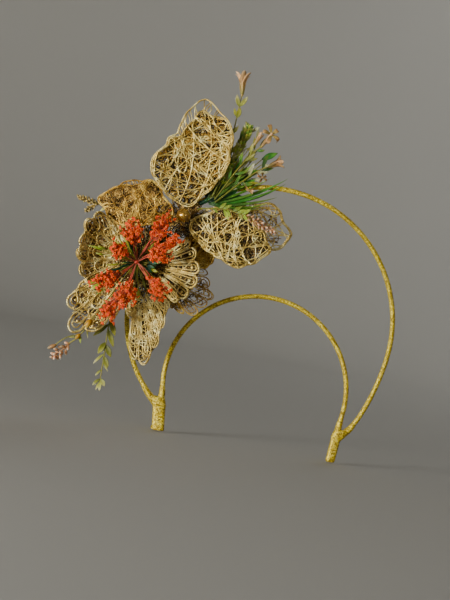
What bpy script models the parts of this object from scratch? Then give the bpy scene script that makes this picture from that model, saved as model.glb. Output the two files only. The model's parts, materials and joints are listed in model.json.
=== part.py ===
"""Fascinator headpiece: two gold-bound wire hoops that meet at two feet, with a mesh flower, a lace flower,
a red blossom spray and wired foliage sprigs lashed to the outer hoop.

Lengths are in millimetres and become metres through MM. +X is the wearer's left, -Y is the wearer's front.
Places are measured from the foot tips, midway between the hoops' feet. The whole hangs on one empty that
puts the row's origin on the underside of the inner hoop's crown, where the headpiece rests on the head.
"""

import math
from collections import namedtuple

import bmesh
import bpy
from mathutils import Vector
from mathutils.geometry import interpolate_bezier

MM = 0.001
TITLE = "fascinator_headpiece"

# Hoops
BAND_RADIUS = 82.5
BAND_CENTRE_Z = 54.0
BAND_LEG_X = 81.0
BAND_SEGMENTS = 21
HALO_RADIUS = 118.3
HALO_CENTRE = (-6.8, 113.0)
HALO_SEGMENTS = 30
HALO_LEFT_END_Z = 34.8
HALO_RIGHT_ARC_END = math.radians(-6.0)
HALO_RIGHT_END = (91.5, 34.4)
HALO_LEAN = 30.0
HALO_LEAN_FROM_Z = 30.0
HALO_LEAN_SPAN = 204.0
HALO_LEAN_POWER = 1.3
WRAP_RADIUS = 2.3
WRAP_WALL = 1.0
CORE_RADIUS = 0.9
CHANNEL_RADIUS = 1.4
WRAP_SIDES = 8
WRAP_END_Z = 35.4

# Feet
FOOT_JOIN_Z = 22.0
FOOT_GAP = 0.3
WEB_THICKNESS = 9.0
TAIL_THICKNESS = 7.0
FOOT_BEVEL = 1.0
CORE_END_Z = 8.0

# Flowers
MESH_FLOWER = Vector((-88.6, -27.4, 192.0))
LACE_FLOWER = Vector((-121.7, -20.6, 145.6))
BASE_RADIUS = 9.0
BASE_THICKNESS = 1.4
LASHING_LENGTH = 6.0
LASHING_RADIUS = 3.5
LASHING_WALL = 0.75
PETAL_THICKNESS = 1.0
PETAL_ROOT_HALF = 3.5
PETAL_ROWS = 8
TIP_ROUNDING = 0.9
TIP_SETBACK = 0.08
PETAL_COLUMNS = 6
EDGE_WIRE_RADIUS = 0.6
EDGE_WIRE_OFFSET = 2.5
BEAD_RADIUS = 6.75
BEAD_BORE = 1.1
PIN_RADIUS = 0.75
BEAD_Y = -45.0
HUB_Y = -36.0
HUB_RADIUS = 3.4

# Sprigs
STEM_RADIUS = 0.8
LEAF_THICKNESS = 1.2
JOINT_GAP = 0.5

Holder = namedtuple("Holder", "empty at")
Petal = namedtuple("Petal", "name root tip width widest belly cup skew")

MESH_PETALS = [
    Petal("mesh_petal_upper", (-87.5, -33.0, 201.0), (-89.0, -39.0, 295.0), 64.0, 0.45, 6.0, 4.0, 0.1),
    Petal("mesh_petal_left", (-98.0, -31.5, 194.5), (-165.0, -29.5, 194.0), 37.0, 0.55, 3.0, -1.0, 0.0),
    Petal("mesh_petal_lower_right", (-79.0, -34.0, 185.5), (-9.0, -37.0, 176.0), 42.0, 0.58, 4.0, 2.0, 0.0),
    Petal("mesh_petal_right", (-73.5, -27.5, 197.5), (5.5, -25.0, 195.0), 40.0, 0.68, 2.0, 1.5, 0.0),
    Petal("mesh_petal_back", (-81.0, -29.2, 179.0), (-61.5, -23.5, 152.5), 34.0, 0.6, 0.0, 1.0, 0.0),
]
LACE_PETALS = [
    Petal("lace_petal_left", (-130.0, -24.2, 148.0), (-173.0, -43.0, 149.0), 58.0, 0.66, -5.0, 4.0, 0.0),
    Petal("lace_petal_right", (-113.0, -23.5, 145.0), (-67.0, -43.0, 144.0), 52.0, 0.68, -5.0, 3.0, 0.0),
    Petal("lace_petal_hanging", (-114.5, -25.2, 137.0), (-102.5, -35.0, 58.5), 35.0, 0.4, -3.0, 2.0, 0.0),
    Petal("lace_petal_lower_left", (-127.5, -22.3, 137.5), (-167.5, -35.0, 84.0), 44.0, 0.7, -4.0, 3.0, 0.0),
    Petal("lace_petal_rear", (-110.0, -20.8, 138.0), (-53.0, -19.5, 126.0), 44.0, 0.68, 0.0, 0.0, 0.0),
]
# Each blossom head: name, centre, radius.
BLOSSOM_HEADS = [
    ("blossom_head_upper_right", (-102.0, -57.0, 184.0), 8.0),
    ("blossom_head_upper", (-129.0, -55.0, 172.5), 8.5),
    ("blossom_head_upper_left", (-140.5, -57.0, 153.5), 7.0),
    ("blossom_head_right", (-100.0, -58.0, 157.5), 8.0),
    ("blossom_head_far_right", (-89.5, -53.0, 170.5), 5.0),
    ("blossom_head_left", (-147.0, -57.0, 122.5), 8.5),
    ("blossom_head_lower", (-124.5, -59.0, 112.0), 9.5),
    ("blossom_head_lower_left", (-136.5, -51.0, 96.0), 7.0),
    ("blossom_head_lower_right", (-96.0, -57.0, 124.0), 7.5),
]


def clear_scene():
    for obj in list(bpy.data.objects):
        bpy.data.objects.remove(obj)


def linear(value):
    share = value / 255.0
    return share / 12.92 if share <= 0.04045 else ((share + 0.055) / 1.055) ** 2.4


def make_material(name, srgb, roughness, metallic=0.0):
    material = bpy.data.materials.new(name)
    material.use_nodes = True
    shader = material.node_tree.nodes["Principled BSDF"]
    shader.inputs["Base Color"].default_value = (*[linear(part) for part in srgb], 1.0)
    shader.inputs["Roughness"].default_value = roughness
    shader.inputs["Metallic"].default_value = metallic
    return material


def make_materials():
    return {
        "gold_ribbon": make_material("gold_ribbon", (186, 164, 45), 0.35, 0.8),
        "steel": make_material("steel", (150, 150, 148), 0.35, 1.0),
        "gold_thread": make_material("gold_thread", (193, 173, 122), 0.35, 0.8),
        "gold_lace": make_material("gold_lace", (205, 185, 130), 0.4, 0.7),
        "bead": make_material("bead", (121, 87, 42), 0.12, 0.6),
        "felt": make_material("felt", (70, 55, 25), 0.9),
        "blossom": make_material("blossom", (224, 74, 40), 0.55),
        "leaf": make_material("leaf", (60, 100, 35), 0.5),
        "stem": make_material("stem", (128, 134, 48), 0.55),
        "lily": make_material("lily", (197, 150, 110), 0.55),
        "bud": make_material("bud", (228, 165, 120), 0.55),
    }


def make_holder(name, at, parent=None):
    empty = bpy.data.objects.new(name, None)
    bpy.context.scene.collection.objects.link(empty)
    at = Vector(at)
    empty.location = at * MM if parent is None else (at - parent.at) * MM
    if parent is not None:
        empty.parent = parent.empty
    return Holder(empty, at)


def add(name, data, material, holder):
    obj = bpy.data.objects.new(name, data)
    PARTS.objects.link(obj)
    obj.parent = holder.empty
    data.materials.append(material)
    return obj


def local(points, holder):
    return [(Vector(point) - holder.at) * MM for point in points]


def tube(name, points, radius, material, holder, caps=True, resolution=1, tilt=0.0):
    curve = bpy.data.curves.new(name, "CURVE")
    curve.dimensions = "3D"
    curve.bevel_depth = radius * MM
    curve.bevel_resolution = resolution
    curve.use_fill_caps = caps
    spline = curve.splines.new("POLY")
    spline.points.add(len(points) - 1)
    for slot, place in zip(spline.points, local(points, holder)):
        slot.co = (*place, 1.0)
        slot.tilt = tilt
    return add(name, curve, material, holder)


def sleeve(name, points, radius, wall, material, holder):
    """A hollow tube, open at both ends, with one flat of its section facing the inside of the hoop."""
    half_side = math.pi / WRAP_SIDES
    resolution = (WRAP_SIDES - 4) // 2
    obj = tube(name, points, radius, material, holder, False, resolution, half_side)
    shell = obj.modifiers.new("Shell", "SOLIDIFY")
    shell.thickness = wall * MM
    shell.offset = -1.0
    return obj


def flat_curve(name, outlines, thickness):
    curve = bpy.data.curves.new(name, "CURVE")
    curve.dimensions = "2D"
    curve.fill_mode = "BOTH"
    curve.extrude = thickness * MM / 2
    for outline in outlines:
        spline = curve.splines.new("POLY")
        spline.points.add(len(outline) - 1)
        for slot, (x, z) in zip(spline.points, outline):
            slot.co = (x * MM, z * MM, 0.0, 1.0)
        spline.use_cyclic_u = True
    return curve


def plate(name, outlines, y, thickness, material, holder):
    """A flat piece whose outline lies in the X-Z plane at depth y."""
    shifted = [[(x - holder.at.x, z - holder.at.z) for x, z in outline] for outline in outlines]
    obj = add(name, flat_curve(name, shifted, thickness), material, holder)
    obj.rotation_euler = (math.pi / 2, 0.0, 0.0)
    obj.location = (0.0, (y - holder.at.y) * MM, 0.0)
    return obj


def solid_plate(name, outline, thickness, material, holder):
    """The same as a mesh at depth 0, which can be bevelled and cut."""
    guide = bpy.data.objects.new(name + "_outline", flat_curve(name, [outline], thickness))
    guide.rotation_euler = (math.pi / 2, 0.0, 0.0)
    PARTS.objects.link(guide)
    bpy.context.view_layer.update()
    evaluated = guide.evaluated_get(bpy.context.evaluated_depsgraph_get())
    mesh = bpy.data.meshes.new_from_object(evaluated)
    work = bmesh.new()
    work.from_mesh(mesh)
    bmesh.ops.remove_doubles(work, verts=work.verts, dist=1e-6)
    bmesh.ops.dissolve_limit(work, angle_limit=0.01, verts=work.verts, edges=work.edges)
    work.to_mesh(mesh)
    work.free()
    mesh.transform(guide.matrix_world)
    bpy.data.objects.remove(guide)
    obj = add(name, mesh, material, holder)
    bevel = obj.modifiers.new("Bevel", "BEVEL")
    bevel.width = FOOT_BEVEL * MM
    bevel.segments = 1
    return obj


def turned(name, profile, start, toward, material, holder, steps=10, closed=False):
    """A profile of (radius, height) points, outer side running down, turned about the line from start."""
    edges = [(i, i + 1) for i in range(len(profile) - 1)]
    if closed:
        edges.append((len(profile) - 1, 0))
    mesh = bpy.data.meshes.new(name)
    mesh.from_pydata([(radius * MM, 0.0, height * MM) for radius, height in profile], edges, [])
    obj = add(name, mesh, material, holder)
    screw = obj.modifiers.new("Turn", "SCREW")
    screw.steps = steps
    screw.render_steps = steps
    screw.use_merge_vertices = True
    screw.merge_threshold = 0.00001
    screw.use_smooth_shade = True
    obj.location = local([start], holder)[0]
    direction = Vector(toward) - Vector(start)
    obj.rotation_mode = "QUATERNION"
    obj.rotation_quaternion = direction.to_track_quat("Z", "Y")
    return obj


def halo_y(z):
    rise = max(0.0, z - HALO_LEAN_FROM_Z) / HALO_LEAN_SPAN
    return -HALO_LEAN * rise**HALO_LEAN_POWER


def band_path():
    """The inner hoop, from its left end to its right end, with a level stretch centred on the crown."""
    half = [Vector((-BAND_LEG_X, 0.0, WRAP_END_Z)), Vector((-BAND_LEG_X - 0.9, 0.0, 44.0))]
    step = math.pi / BAND_SEGMENTS
    for i in range(BAND_SEGMENTS // 2 + 1):
        angle = math.pi - i * step
        x = BAND_RADIUS * math.cos(angle)
        half.append(Vector((x, 0.0, BAND_CENTRE_Z + BAND_RADIUS * math.sin(angle))))
    mirrored = [Vector((-point.x, point.y, point.z)) for point in reversed(half)]
    return half + mirrored


def halo_path():
    """The outer hoop: an arc from the left foot over the top, then a straighter leg to the right foot."""
    centre_x, centre_z = HALO_CENTRE
    start = math.pi - math.asin((HALO_LEFT_END_Z - centre_z) / HALO_RADIUS)
    points = []
    for i in range(HALO_SEGMENTS + 1):
        angle = start + (HALO_RIGHT_ARC_END - start) * i / HALO_SEGMENTS
        points.append((centre_x + HALO_RADIUS * math.cos(angle), centre_z + HALO_RADIUS * math.sin(angle)))
    last = Vector((points[-1][0], 0.0, points[-1][1]))
    fall = Vector((math.sin(HALO_RIGHT_ARC_END), 0.0, -math.cos(HALO_RIGHT_ARC_END)))
    foot = Vector((HALO_RIGHT_END[0], 0.0, HALO_RIGHT_END[1]))
    leg = interpolate_bezier(last, last + fall * 26.0, foot + Vector((9.0, 0.0, 15.0)), foot, 8)
    points += [(point.x, point.z) for point in leg[1:]]
    return [Vector((x, halo_y(z), z)) for x, z in points]


def sub_path(points, start, end):
    """The stretch of a path between two lengths measured from its first point."""
    found = []
    walked = 0.0
    for here, there in zip(points, points[1:]):
        length = (there - here).length
        for mark in (start, end):
            if walked <= mark < walked + length:
                found.append(here.lerp(there, (mark - walked) / length))
        if start < walked + length < end:
            found.append(there)
        walked += length
    return found


def length_nearest(points, place):
    """The length along a path at which it passes nearest to a place."""
    walked = 0.0
    best = (math.inf, 0.0)
    for here, there in zip(points, points[1:]):
        best = min(best, ((here - place).length, walked))
        walked += (there - here).length
    return best[1]


def make_hoops(colours, frame):
    """Each hoop is a spring wire in a ribbon wrap; its wire runs on through the feet."""
    band = band_path()
    halo = halo_path()
    left_band = [(-77.4, 0.0, CORE_END_Z), (-78.8, 0.0, 21.0), (-80.2, 0.0, 27.5)]
    right_band = [(-x, y, z) for x, y, z in left_band]
    left_halo = [(-81.9, 0.0, CORE_END_Z), (-83.5, 0.0, 21.0), (-87.4, 0.0, 26.9)]
    right_halo = [(81.3, 0.0, CORE_END_Z), (82.9, 0.0, 21.0), (87.4, 0.0, 27.3)]
    band_wire = [Vector(p) for p in left_band] + band + [Vector(p) for p in reversed(right_band)]
    halo_wire = [Vector(p) for p in left_halo] + halo + [Vector(p) for p in reversed(right_halo)]
    tube("band_core_wire", band_wire, CORE_RADIUS, colours["steel"], frame)
    tube("halo_core_wire", halo_wire, CORE_RADIUS, colours["steel"], frame)
    sleeve("band_wrap", band, WRAP_RADIUS, WRAP_WALL, colours["gold_ribbon"], frame)
    sleeve("halo_wrap", halo, WRAP_RADIUS, WRAP_WALL, colours["gold_ribbon"], frame)
    return band_wire, halo_wire, halo


def channel(name, wire, frame):
    """A cutter that leaves room around a wire in a foot."""
    below = wire[0] + (wire[0] - wire[1]).normalized() * 0.6
    guide = tube(name, [below, *wire[1:5]], CHANNEL_RADIUS, CUTTER_MATERIAL, frame, True, 2)
    bpy.context.view_layer.update()
    evaluated = guide.evaluated_get(bpy.context.evaluated_depsgraph_get())
    mesh = bpy.data.meshes.new_from_object(evaluated)
    work = bmesh.new()
    work.from_mesh(mesh)
    bmesh.ops.remove_doubles(work, verts=work.verts, dist=1e-6)
    bmesh.ops.recalc_face_normals(work, faces=work.faces)
    work.to_mesh(mesh)
    work.free()
    cutter = bpy.data.objects.new(name + "_cutter", mesh)
    cutter.matrix_world = guide.matrix_world.copy()
    bpy.data.objects.remove(guide)
    cutter.hide_render = True
    cutter.display_type = "WIRE"
    CUTTERS.objects.link(cutter)
    return cutter


def cut(obj, cutters):
    for cutter in cutters:
        hole = obj.modifiers.new("Channel", "BOOLEAN")
        hole.operation = "DIFFERENCE"
        hole.object = cutter


def make_feet(colours, frame, band_wire, halo_wire):
    """Each foot is a webbed join over both hoops and a flat tail under it, both wound from ribbon."""
    top = FOOT_JOIN_Z + FOOT_GAP
    ribbon = colours["gold_ribbon"]
    left_web = [(-97.3, 31.9), (-92.3, 36.3), (-86.4, 30.6), (-84.0, 34.8), (-78.0, 34.8)]
    left_web += [(-75.4, top), (-87.2, top)]
    right_web = [(94.5, 32.4), (88.9, 35.2), (86.2, 30.8), (84.0, 34.8), (78.0, 34.8)]
    right_web += [(75.8, top), (84.6, top)]
    left_tail = [(-87.2, FOOT_JOIN_Z), (-75.4, FOOT_JOIN_Z), (-72.8, 0.0), (-84.3, 0.0)]
    right_tail = [(75.8, FOOT_JOIN_Z), (84.6, FOOT_JOIN_Z), (82.8, 0.0), (74.3, 0.0)]
    left = [channel("left_band_channel", band_wire, frame), channel("left_halo_channel", halo_wire, frame)]
    band_back = list(reversed(band_wire))
    halo_back = list(reversed(halo_wire))
    right = [channel("right_band_channel", band_back, frame), channel("right_halo_channel", halo_back, frame)]
    cut(solid_plate("left_foot_web", left_web, WEB_THICKNESS, ribbon, frame), left)
    cut(solid_plate("left_foot_tail", left_tail, TAIL_THICKNESS, ribbon, frame), left)
    cut(solid_plate("right_foot_web", right_web, WEB_THICKNESS, ribbon, frame), right)
    cut(solid_plate("right_foot_tail", right_tail, TAIL_THICKNESS, ribbon, frame), right)


def make_base(name, centre, halo, colours, frame):
    """A felt disc lashed to the outer hoop, to which a flower is sewn."""
    back = centre + Vector((0.0, BASE_THICKNESS / 2, 0.0))
    front = centre - Vector((0.0, BASE_THICKNESS / 2, 0.0))
    disc = [(0.0, BASE_THICKNESS), (BASE_RADIUS, BASE_THICKNESS), (BASE_RADIUS, 0.0), (0.0, 0.0)]
    turned(name + "_base", disc, back, front, colours["felt"], frame, 16)
    middle = length_nearest(halo, centre)
    wound = sub_path(halo, middle - LASHING_LENGTH / 2, middle + LASHING_LENGTH / 2)
    sleeve(name + "_lashing", wound, LASHING_RADIUS, LASHING_WALL, colours["gold_thread"], frame)


def half_width(shape, u):
    full = shape.width / 2
    if u < shape.widest:
        swell = math.sin(math.pi / 2 * u / shape.widest)
        return PETAL_ROOT_HALF + (full - PETAL_ROOT_HALF) * swell
    beyond = (u - shape.widest) / (1.0 - shape.widest)
    return full * math.sqrt(1.0 - TIP_ROUNDING * beyond * beyond)


def petal_flat(shape, u, v):
    """Where (u, v) lies on a petal: u from root to tip, v from edge to edge. Gives the length along the
    chord, the distance across it and the height in front of it."""
    length = (Vector(shape.tip) - Vector(shape.root)).length
    share = u * (1.0 - TIP_SETBACK * v * v * u**3) + shape.skew * v * math.sin(math.pi * u)
    height = shape.belly * 4 * u * (1 - u) + shape.cup * v * v * min(1.0, 2 * u)
    return length * share, v * half_width(shape, u), height


def petal_place(shape, along, across, height):
    root = Vector(shape.root)
    chord = (Vector(shape.tip) - root).normalized()
    side = Vector((0.0, 1.0, 0.0)).cross(chord).normalized()
    return root + chord * along + side * across + side.cross(chord) * height


def make_petal(shape, material, frame):
    """A thin cupped shell over the petal's outline."""
    work = bmesh.new()
    bmesh.ops.create_grid(work, x_segments=PETAL_ROWS, y_segments=PETAL_COLUMNS, size=1.0)
    for vert in work.verts:
        vert.co = petal_place(shape, *petal_flat(shape, (vert.co.x + 1) / 2, vert.co.y)) * MM
    mesh = bpy.data.meshes.new(shape.name)
    work.to_mesh(mesh)
    work.free()
    mesh.shade_smooth()
    obj = add(shape.name, mesh, material, frame)
    shell = obj.modifiers.new("Shell", "SOLIDIFY")
    shell.thickness = PETAL_THICKNESS * MM
    shell.offset = 0.0


def make_edge_wire(shape, material, frame):
    """The fine wire that stiffens a petal's edge, just outside it, from one side of the root to the other."""
    climb = [0.04] + [i / PETAL_ROWS for i in range(1, PETAL_ROWS + 1)]
    across = [2 * i / PETAL_COLUMNS - 1 for i in range(1, PETAL_COLUMNS)]
    rim = [(u, -1.0) for u in climb] + [(1.0, v) for v in across] + [(u, 1.0) for u in reversed(climb)]
    flat = [petal_flat(shape, u, v) for u, v in rim]
    points = []
    for i, (far, wide, height) in enumerate(flat):
        here = Vector((far, wide))
        before = (here - Vector(flat[i - 1][:2])).normalized() if i else None
        after = (Vector(flat[i + 1][:2]) - here).normalized() if i < len(flat) - 1 else before
        heading = (before or after) + after
        mitre = 2.0 * EDGE_WIRE_OFFSET / heading.length_squared
        points.append(petal_place(shape, far + heading.y * mitre, wide - heading.x * mitre, height))
    tube(shape.name + "_edge_wire", points, EDGE_WIRE_RADIUS, material, frame)


def ball_profile(radius, steps, half_height=None):
    """The right half of a ball or flattened ball about height 0, from its top to its bottom."""
    tall = radius if half_height is None else half_height
    angles = [math.pi / 2 - math.pi * i / steps for i in range(steps + 1)]
    profile = [(radius * math.cos(angle), tall * math.sin(angle)) for angle in angles]
    profile[0] = (0.0, tall)
    profile[-1] = (0.0, -tall)
    return profile


def make_bead(colours, frame):
    """A drilled bead that turns on a headed pin standing on the mesh flower's base."""
    holder = make_holder("bead_axis", (MESH_FLOWER.x, BEAD_Y, MESH_FLOWER.z), frame)
    centre = holder.at
    ahead = centre + Vector((0.0, -1.0, 0.0))
    reach = math.acos(BEAD_BORE / BEAD_RADIUS)
    angles = [reach - 2 * reach * i / 8 for i in range(9)]
    ring = [(BEAD_RADIUS * math.cos(angle), BEAD_RADIUS * math.sin(angle)) for angle in angles]
    turned("gold_bead", ring, centre, ahead, colours["bead"], holder, 16, True)
    foot = Vector((centre.x, MESH_FLOWER.y - BASE_THICKNESS / 2 - FOOT_GAP, centre.z))
    rise = foot.y - centre.y
    head = rise + BEAD_RADIUS + FOOT_GAP
    pin = [(0.0, head + 0.9), (1.7, head + 0.5), (1.7, head), (PIN_RADIUS, head)]
    pin += [(PIN_RADIUS, 0.8), (2.4, 0.8), (2.4, 0.0), (0.0, 0.0)]
    turned("bead_pin", pin, foot, foot + Vector((0.0, -1.0, 0.0)), colours["gold_thread"], frame, 10)


def leaf_star(centre, tips, half, base, hole):
    """An outline of leaves about a centre, each tip given by its angle in degrees and its length."""
    outline = []
    for degrees, length in tips:
        angle = math.radians(degrees)
        along = Vector((math.cos(angle), math.sin(angle)))
        side = Vector((-along.y, along.x))
        middle = length * 0.5
        for reach, share in ((base, -0.55), (middle, -1.0), (length, 0.0), (middle, 1.0), (base, 0.55)):
            place = along * reach + side * half * share
            outline.append((centre[0] + place.x, centre[1] + place.y))
    turn = [math.tau * i / 10 for i in range(10)]
    inner = [(centre[0] + hole * math.cos(angle), centre[1] + hole * math.sin(angle)) for angle in turn]
    return [outline, inner] if hole else [outline]


def make_spray(colours, frame):
    """Blossom heads on straight stems about one hub, with a whorl of leaves behind them."""
    foot = LACE_FLOWER - Vector((0.0, BASE_THICKNESS / 2 + FOOT_GAP, 0.0))
    ahead = foot + Vector((0.0, -1.0, 0.0))
    rise = foot.y - HUB_Y
    ball = [(radius, height + rise) for radius, height in ball_profile(HUB_RADIUS, 6)[:-1]]
    stalk = [(1.2, rise - HUB_RADIUS), (1.2, 0.8), (2.4, 0.8), (2.4, 0.0), (0.0, 0.0)]
    turned("spray_hub", ball + stalk, foot, ahead, colours["stem"], frame)
    tips = [(15.0 + i * 360.0 / 7, 17.0) for i in range(7)]
    star = leaf_star((LACE_FLOWER.x, LACE_FLOWER.z), tips, 3.0, 5.0, 1.8)
    plate("spray_leaves", star, -30.2, LEAF_THICKNESS, colours["leaf"], frame)
    hub = Vector((LACE_FLOWER.x, HUB_Y, LACE_FLOWER.z))
    for name, centre, radius in BLOSSOM_HEADS:
        direction = Vector(centre) - hub
        start = hub + direction.normalized() * (HUB_RADIUS + 1.6)
        reach = (Vector(centre) - start).length
        head = [(r, h + reach) for r, h in ball_profile(radius, 6, radius * 0.75)[:-1]]
        stem = [(STEM_RADIUS, reach - radius * 0.75), (STEM_RADIUS, 0.0), (0.0, 0.0)]
        turned(name, head + stem, start, centre, colours["blossom"], frame, 8)


def lily_profile(length, mouth):
    """A trumpet: a narrow tube that flares to its mouth, hollow from the front."""
    outer = [(mouth, length), (mouth * 0.45, length * 0.5), (1.6, 0.0), (0.0, 0.0)]
    inner = [(0.0, length * 0.35), (mouth * 0.3, length * 0.55), (mouth - 0.9, length)]
    return inner + outer


def frond(root, tip, leaflet, count, rib=0.7):
    """The outline of a rib with pointed leaflets on both sides, in the X-Z plane."""
    start = Vector(root)
    span = Vector(tip) - start
    along = span.normalized()
    side = Vector((-along.y, along.x))
    right = [start - side * rib]
    left = [start + side * rib]
    pitch = span.length / (count + 0.5)
    for i in range(count):
        low = start + along * pitch * (i + 0.25)
        out = start + along * pitch * (i + 1.0)
        high = start + along * pitch * (i + 0.85)
        size = leaflet * math.sin(math.pi * (i + 1.2) / (count + 1.6))
        right += [low - side * rib, out - side * size, high - side * rib]
        left += [low + side * rib, out + side * size, high + side * rib]
    end = [Vector(tip)]
    return [(point.x, point.y) for point in right + end + list(reversed(left))]


def make_lily(name, path, tip, mouth, colours, frame):
    """A wired stem that bends at its root, and a trumpet flower on its end."""
    holder = make_holder(name + "_root", path[0], frame)
    tube(name + "_stem", path, STEM_RADIUS, colours["stem"], holder)
    aim = Vector(tip) - Vector(path[-1])
    start = Vector(path[-1]) + aim.normalized() * JOINT_GAP
    length = (Vector(tip) - start).length
    turned(name + "_flower", lily_profile(length, mouth), start, tip, colours["lily"], holder)


def make_bud_sprig(name, path, tip, radius, colours, frame):
    """A wired stem that bends at its root, and a spindle of buds on its end."""
    holder = make_holder(name + "_root", path[0], frame)
    tube(name + "_stem", path, STEM_RADIUS, colours["stem"], holder)
    middle = (Vector(path[-1]) + Vector(tip)) / 2
    half = (Vector(tip) - middle).length - JOINT_GAP
    turned(name + "_buds", ball_profile(radius, 6, half), middle, tip, colours["bud"], holder, 8)


def make_foliage(colours, frame):
    """Lilies, a fern frond, leaves and grass blades that fan out from one taped bundle."""
    tape = [(-80.0, -29.8, 204.0), (-76.0, -30.4, 206.5), (-70.5, -31.6, 210.3)]
    tube("stem_tape", tape, 2.0, colours["leaf"], frame)
    tall = [(-67.5, -37.0, 213.5), (-61.0, -37.0, 240.0), (-60.0, -37.0, 267.0)]
    tall += [(-59.2, -36.6, 287.0), (-58.4, -35.0, 305.0)]
    make_lily("tall_lily", tall, (-61.5, -34.0, 327.7), 7.5, colours, frame)
    open_path = [(-65.3, -38.0, 210.5), (-52.0, -38.5, 237.0), (-41.0, -38.5, 255.0), (-33.5, -38.5, 263.5)]
    make_lily("open_lily", open_path, (-25.0, -43.0, 278.0), 8.0, colours, frame)
    side_path = [(-64.5, -36.8, 208.5), (-46.0, -37.0, 229.0), (-33.0, -37.0, 242.0), (-24.5, -37.0, 247.5)]
    make_lily("side_lily", side_path, (-10.5, -37.5, 256.0), 7.0, colours, frame)
    fern = frond((-66.5, 212.5), (-47.5, 283.5), 6.0, 9)
    plate("fern_frond", [fern], -35.0, LEAF_THICKNESS, colours["leaf"], frame)
    leaves = leaf_star((-71.0, 205.0), [(4, 38.0), (23, 46.0), (42, 44.0), (61, 50.0)], 3.3, 13.0, 0.0)
    plate("leaf_bunch", leaves, -32.6, LEAF_THICKNESS, colours["leaf"], frame)
    blades = leaf_star((-70.0, 205.5), [(16, 60.0), (29, 74.0), (50, 64.0)], 1.4, 13.0, 0.0)
    plate("grass_blades", blades, -33.9, 0.9, colours["leaf"], frame)


def make_sprigs(colours, frame):
    """The bud sprigs and leafy sprigs that show round the two flowers."""
    peach = [(-78.0, -37.0, 200.0), (-71.0, -44.5, 201.5), (-55.0, -47.0, 203.5), (-37.0, -48.5, 201.5)]
    make_bud_sprig("peach_sprig", peach, (-8.0, -48.5, 191.0), 4.5, colours, frame)
    lower = [(-134.0, -19.2, 132.5), (-144.5, -20.0, 108.0), (-151.0, -21.5, 89.0), (-163.0, -24.0, 69.5)]
    make_bud_sprig("bud_sprig", lower, (-184.0, -26.0, 51.0), 5.0, colours, frame)
    side = [(-100.5, -27.2, 193.0), (-130.0, -26.5, 191.0), (-164.0, -26.0, 189.5)]
    make_bud_sprig("side_sprig", side, (-184.5, -26.0, 193.0), 4.0, colours, frame)
    hanging = make_holder("hanging_sprig_root", (-124.5, -19.4, 131.5), frame)
    path = [(-124.5, -19.4, 131.5), (-133.0, -20.0, 108.0), (-137.0, -21.0, 90.0)]
    tube("hanging_sprig_stem", path, STEM_RADIUS, colours["stem"], hanging)
    leaves = frond((-137.0, 89.0), (-135.7, 33.0), 6.5, 4)
    plate("hanging_sprig_leaves", [leaves], -21.0, LEAF_THICKNESS, colours["leaf"], hanging)


def crown_rest_z():
    """The height of the flat underside of the inner hoop's wrap at its crown."""
    half_turn = math.pi / BAND_SEGMENTS / 2
    axis = BAND_CENTRE_Z + BAND_RADIUS * math.cos(half_turn)
    return axis - WRAP_RADIUS * math.cos(math.pi / WRAP_SIDES)


def make_headpiece():
    colours = make_materials()
    frame = make_holder("headpiece_frame", (0.0, 0.0, 0.0))
    frame.empty.location = (0.0, 0.0, -crown_rest_z() * MM)
    band_wire, halo_wire, halo = make_hoops(colours, frame)
    make_feet(colours, frame, band_wire, halo_wire)
    make_base("mesh_flower", MESH_FLOWER, halo, colours, frame)
    make_base("lace_flower", LACE_FLOWER, halo, colours, frame)
    for shape in MESH_PETALS:
        make_petal(shape, colours["gold_thread"], frame)
        make_edge_wire(shape, colours["gold_thread"], frame)
    for shape in LACE_PETALS:
        make_petal(shape, colours["gold_lace"], frame)
    make_bead(colours, frame)
    make_spray(colours, frame)
    make_foliage(colours, frame)
    make_sprigs(colours, frame)


clear_scene()
PARTS = bpy.data.collections.new(TITLE)
CUTTERS = bpy.data.collections.new("cutters")
bpy.context.scene.collection.children.link(PARTS)
bpy.context.scene.collection.children.link(CUTTERS)
CUTTER_MATERIAL = make_material("cutter", (255, 0, 255), 0.5)
make_headpiece()
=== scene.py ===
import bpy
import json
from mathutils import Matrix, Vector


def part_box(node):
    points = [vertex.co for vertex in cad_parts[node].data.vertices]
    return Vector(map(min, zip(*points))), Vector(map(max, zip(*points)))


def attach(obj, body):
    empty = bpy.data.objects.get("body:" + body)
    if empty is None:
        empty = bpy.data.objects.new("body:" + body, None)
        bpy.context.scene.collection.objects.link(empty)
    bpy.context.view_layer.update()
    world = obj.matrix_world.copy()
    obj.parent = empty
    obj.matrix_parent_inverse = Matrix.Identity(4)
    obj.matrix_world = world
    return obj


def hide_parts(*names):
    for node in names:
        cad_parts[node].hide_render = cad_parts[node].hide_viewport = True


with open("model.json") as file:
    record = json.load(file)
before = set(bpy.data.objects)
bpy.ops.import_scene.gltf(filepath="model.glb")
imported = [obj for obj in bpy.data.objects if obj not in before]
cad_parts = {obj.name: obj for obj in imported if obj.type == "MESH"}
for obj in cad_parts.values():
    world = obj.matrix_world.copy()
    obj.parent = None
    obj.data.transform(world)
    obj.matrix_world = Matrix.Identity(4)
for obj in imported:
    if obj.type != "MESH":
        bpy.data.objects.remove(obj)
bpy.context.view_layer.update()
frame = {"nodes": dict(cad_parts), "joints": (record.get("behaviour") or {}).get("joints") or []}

# Looks of the fascinator headpiece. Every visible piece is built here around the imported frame: woven and
# lace petals over the petal shells, wound ribbon over the hoops and feet, and blossoms, leaves and lilies on
# their stems. Lengths are in millimetres in the row frame, except the lights', and become metres through MM.

import copy
import json
import math
from collections import namedtuple

import bpy
import numpy as np
from mathutils import Matrix

MM = 0.001
FRONT = np.array([0.0, -1.0, 0.0])
UP = np.array([0.0, 0.0, 1.0])

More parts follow.
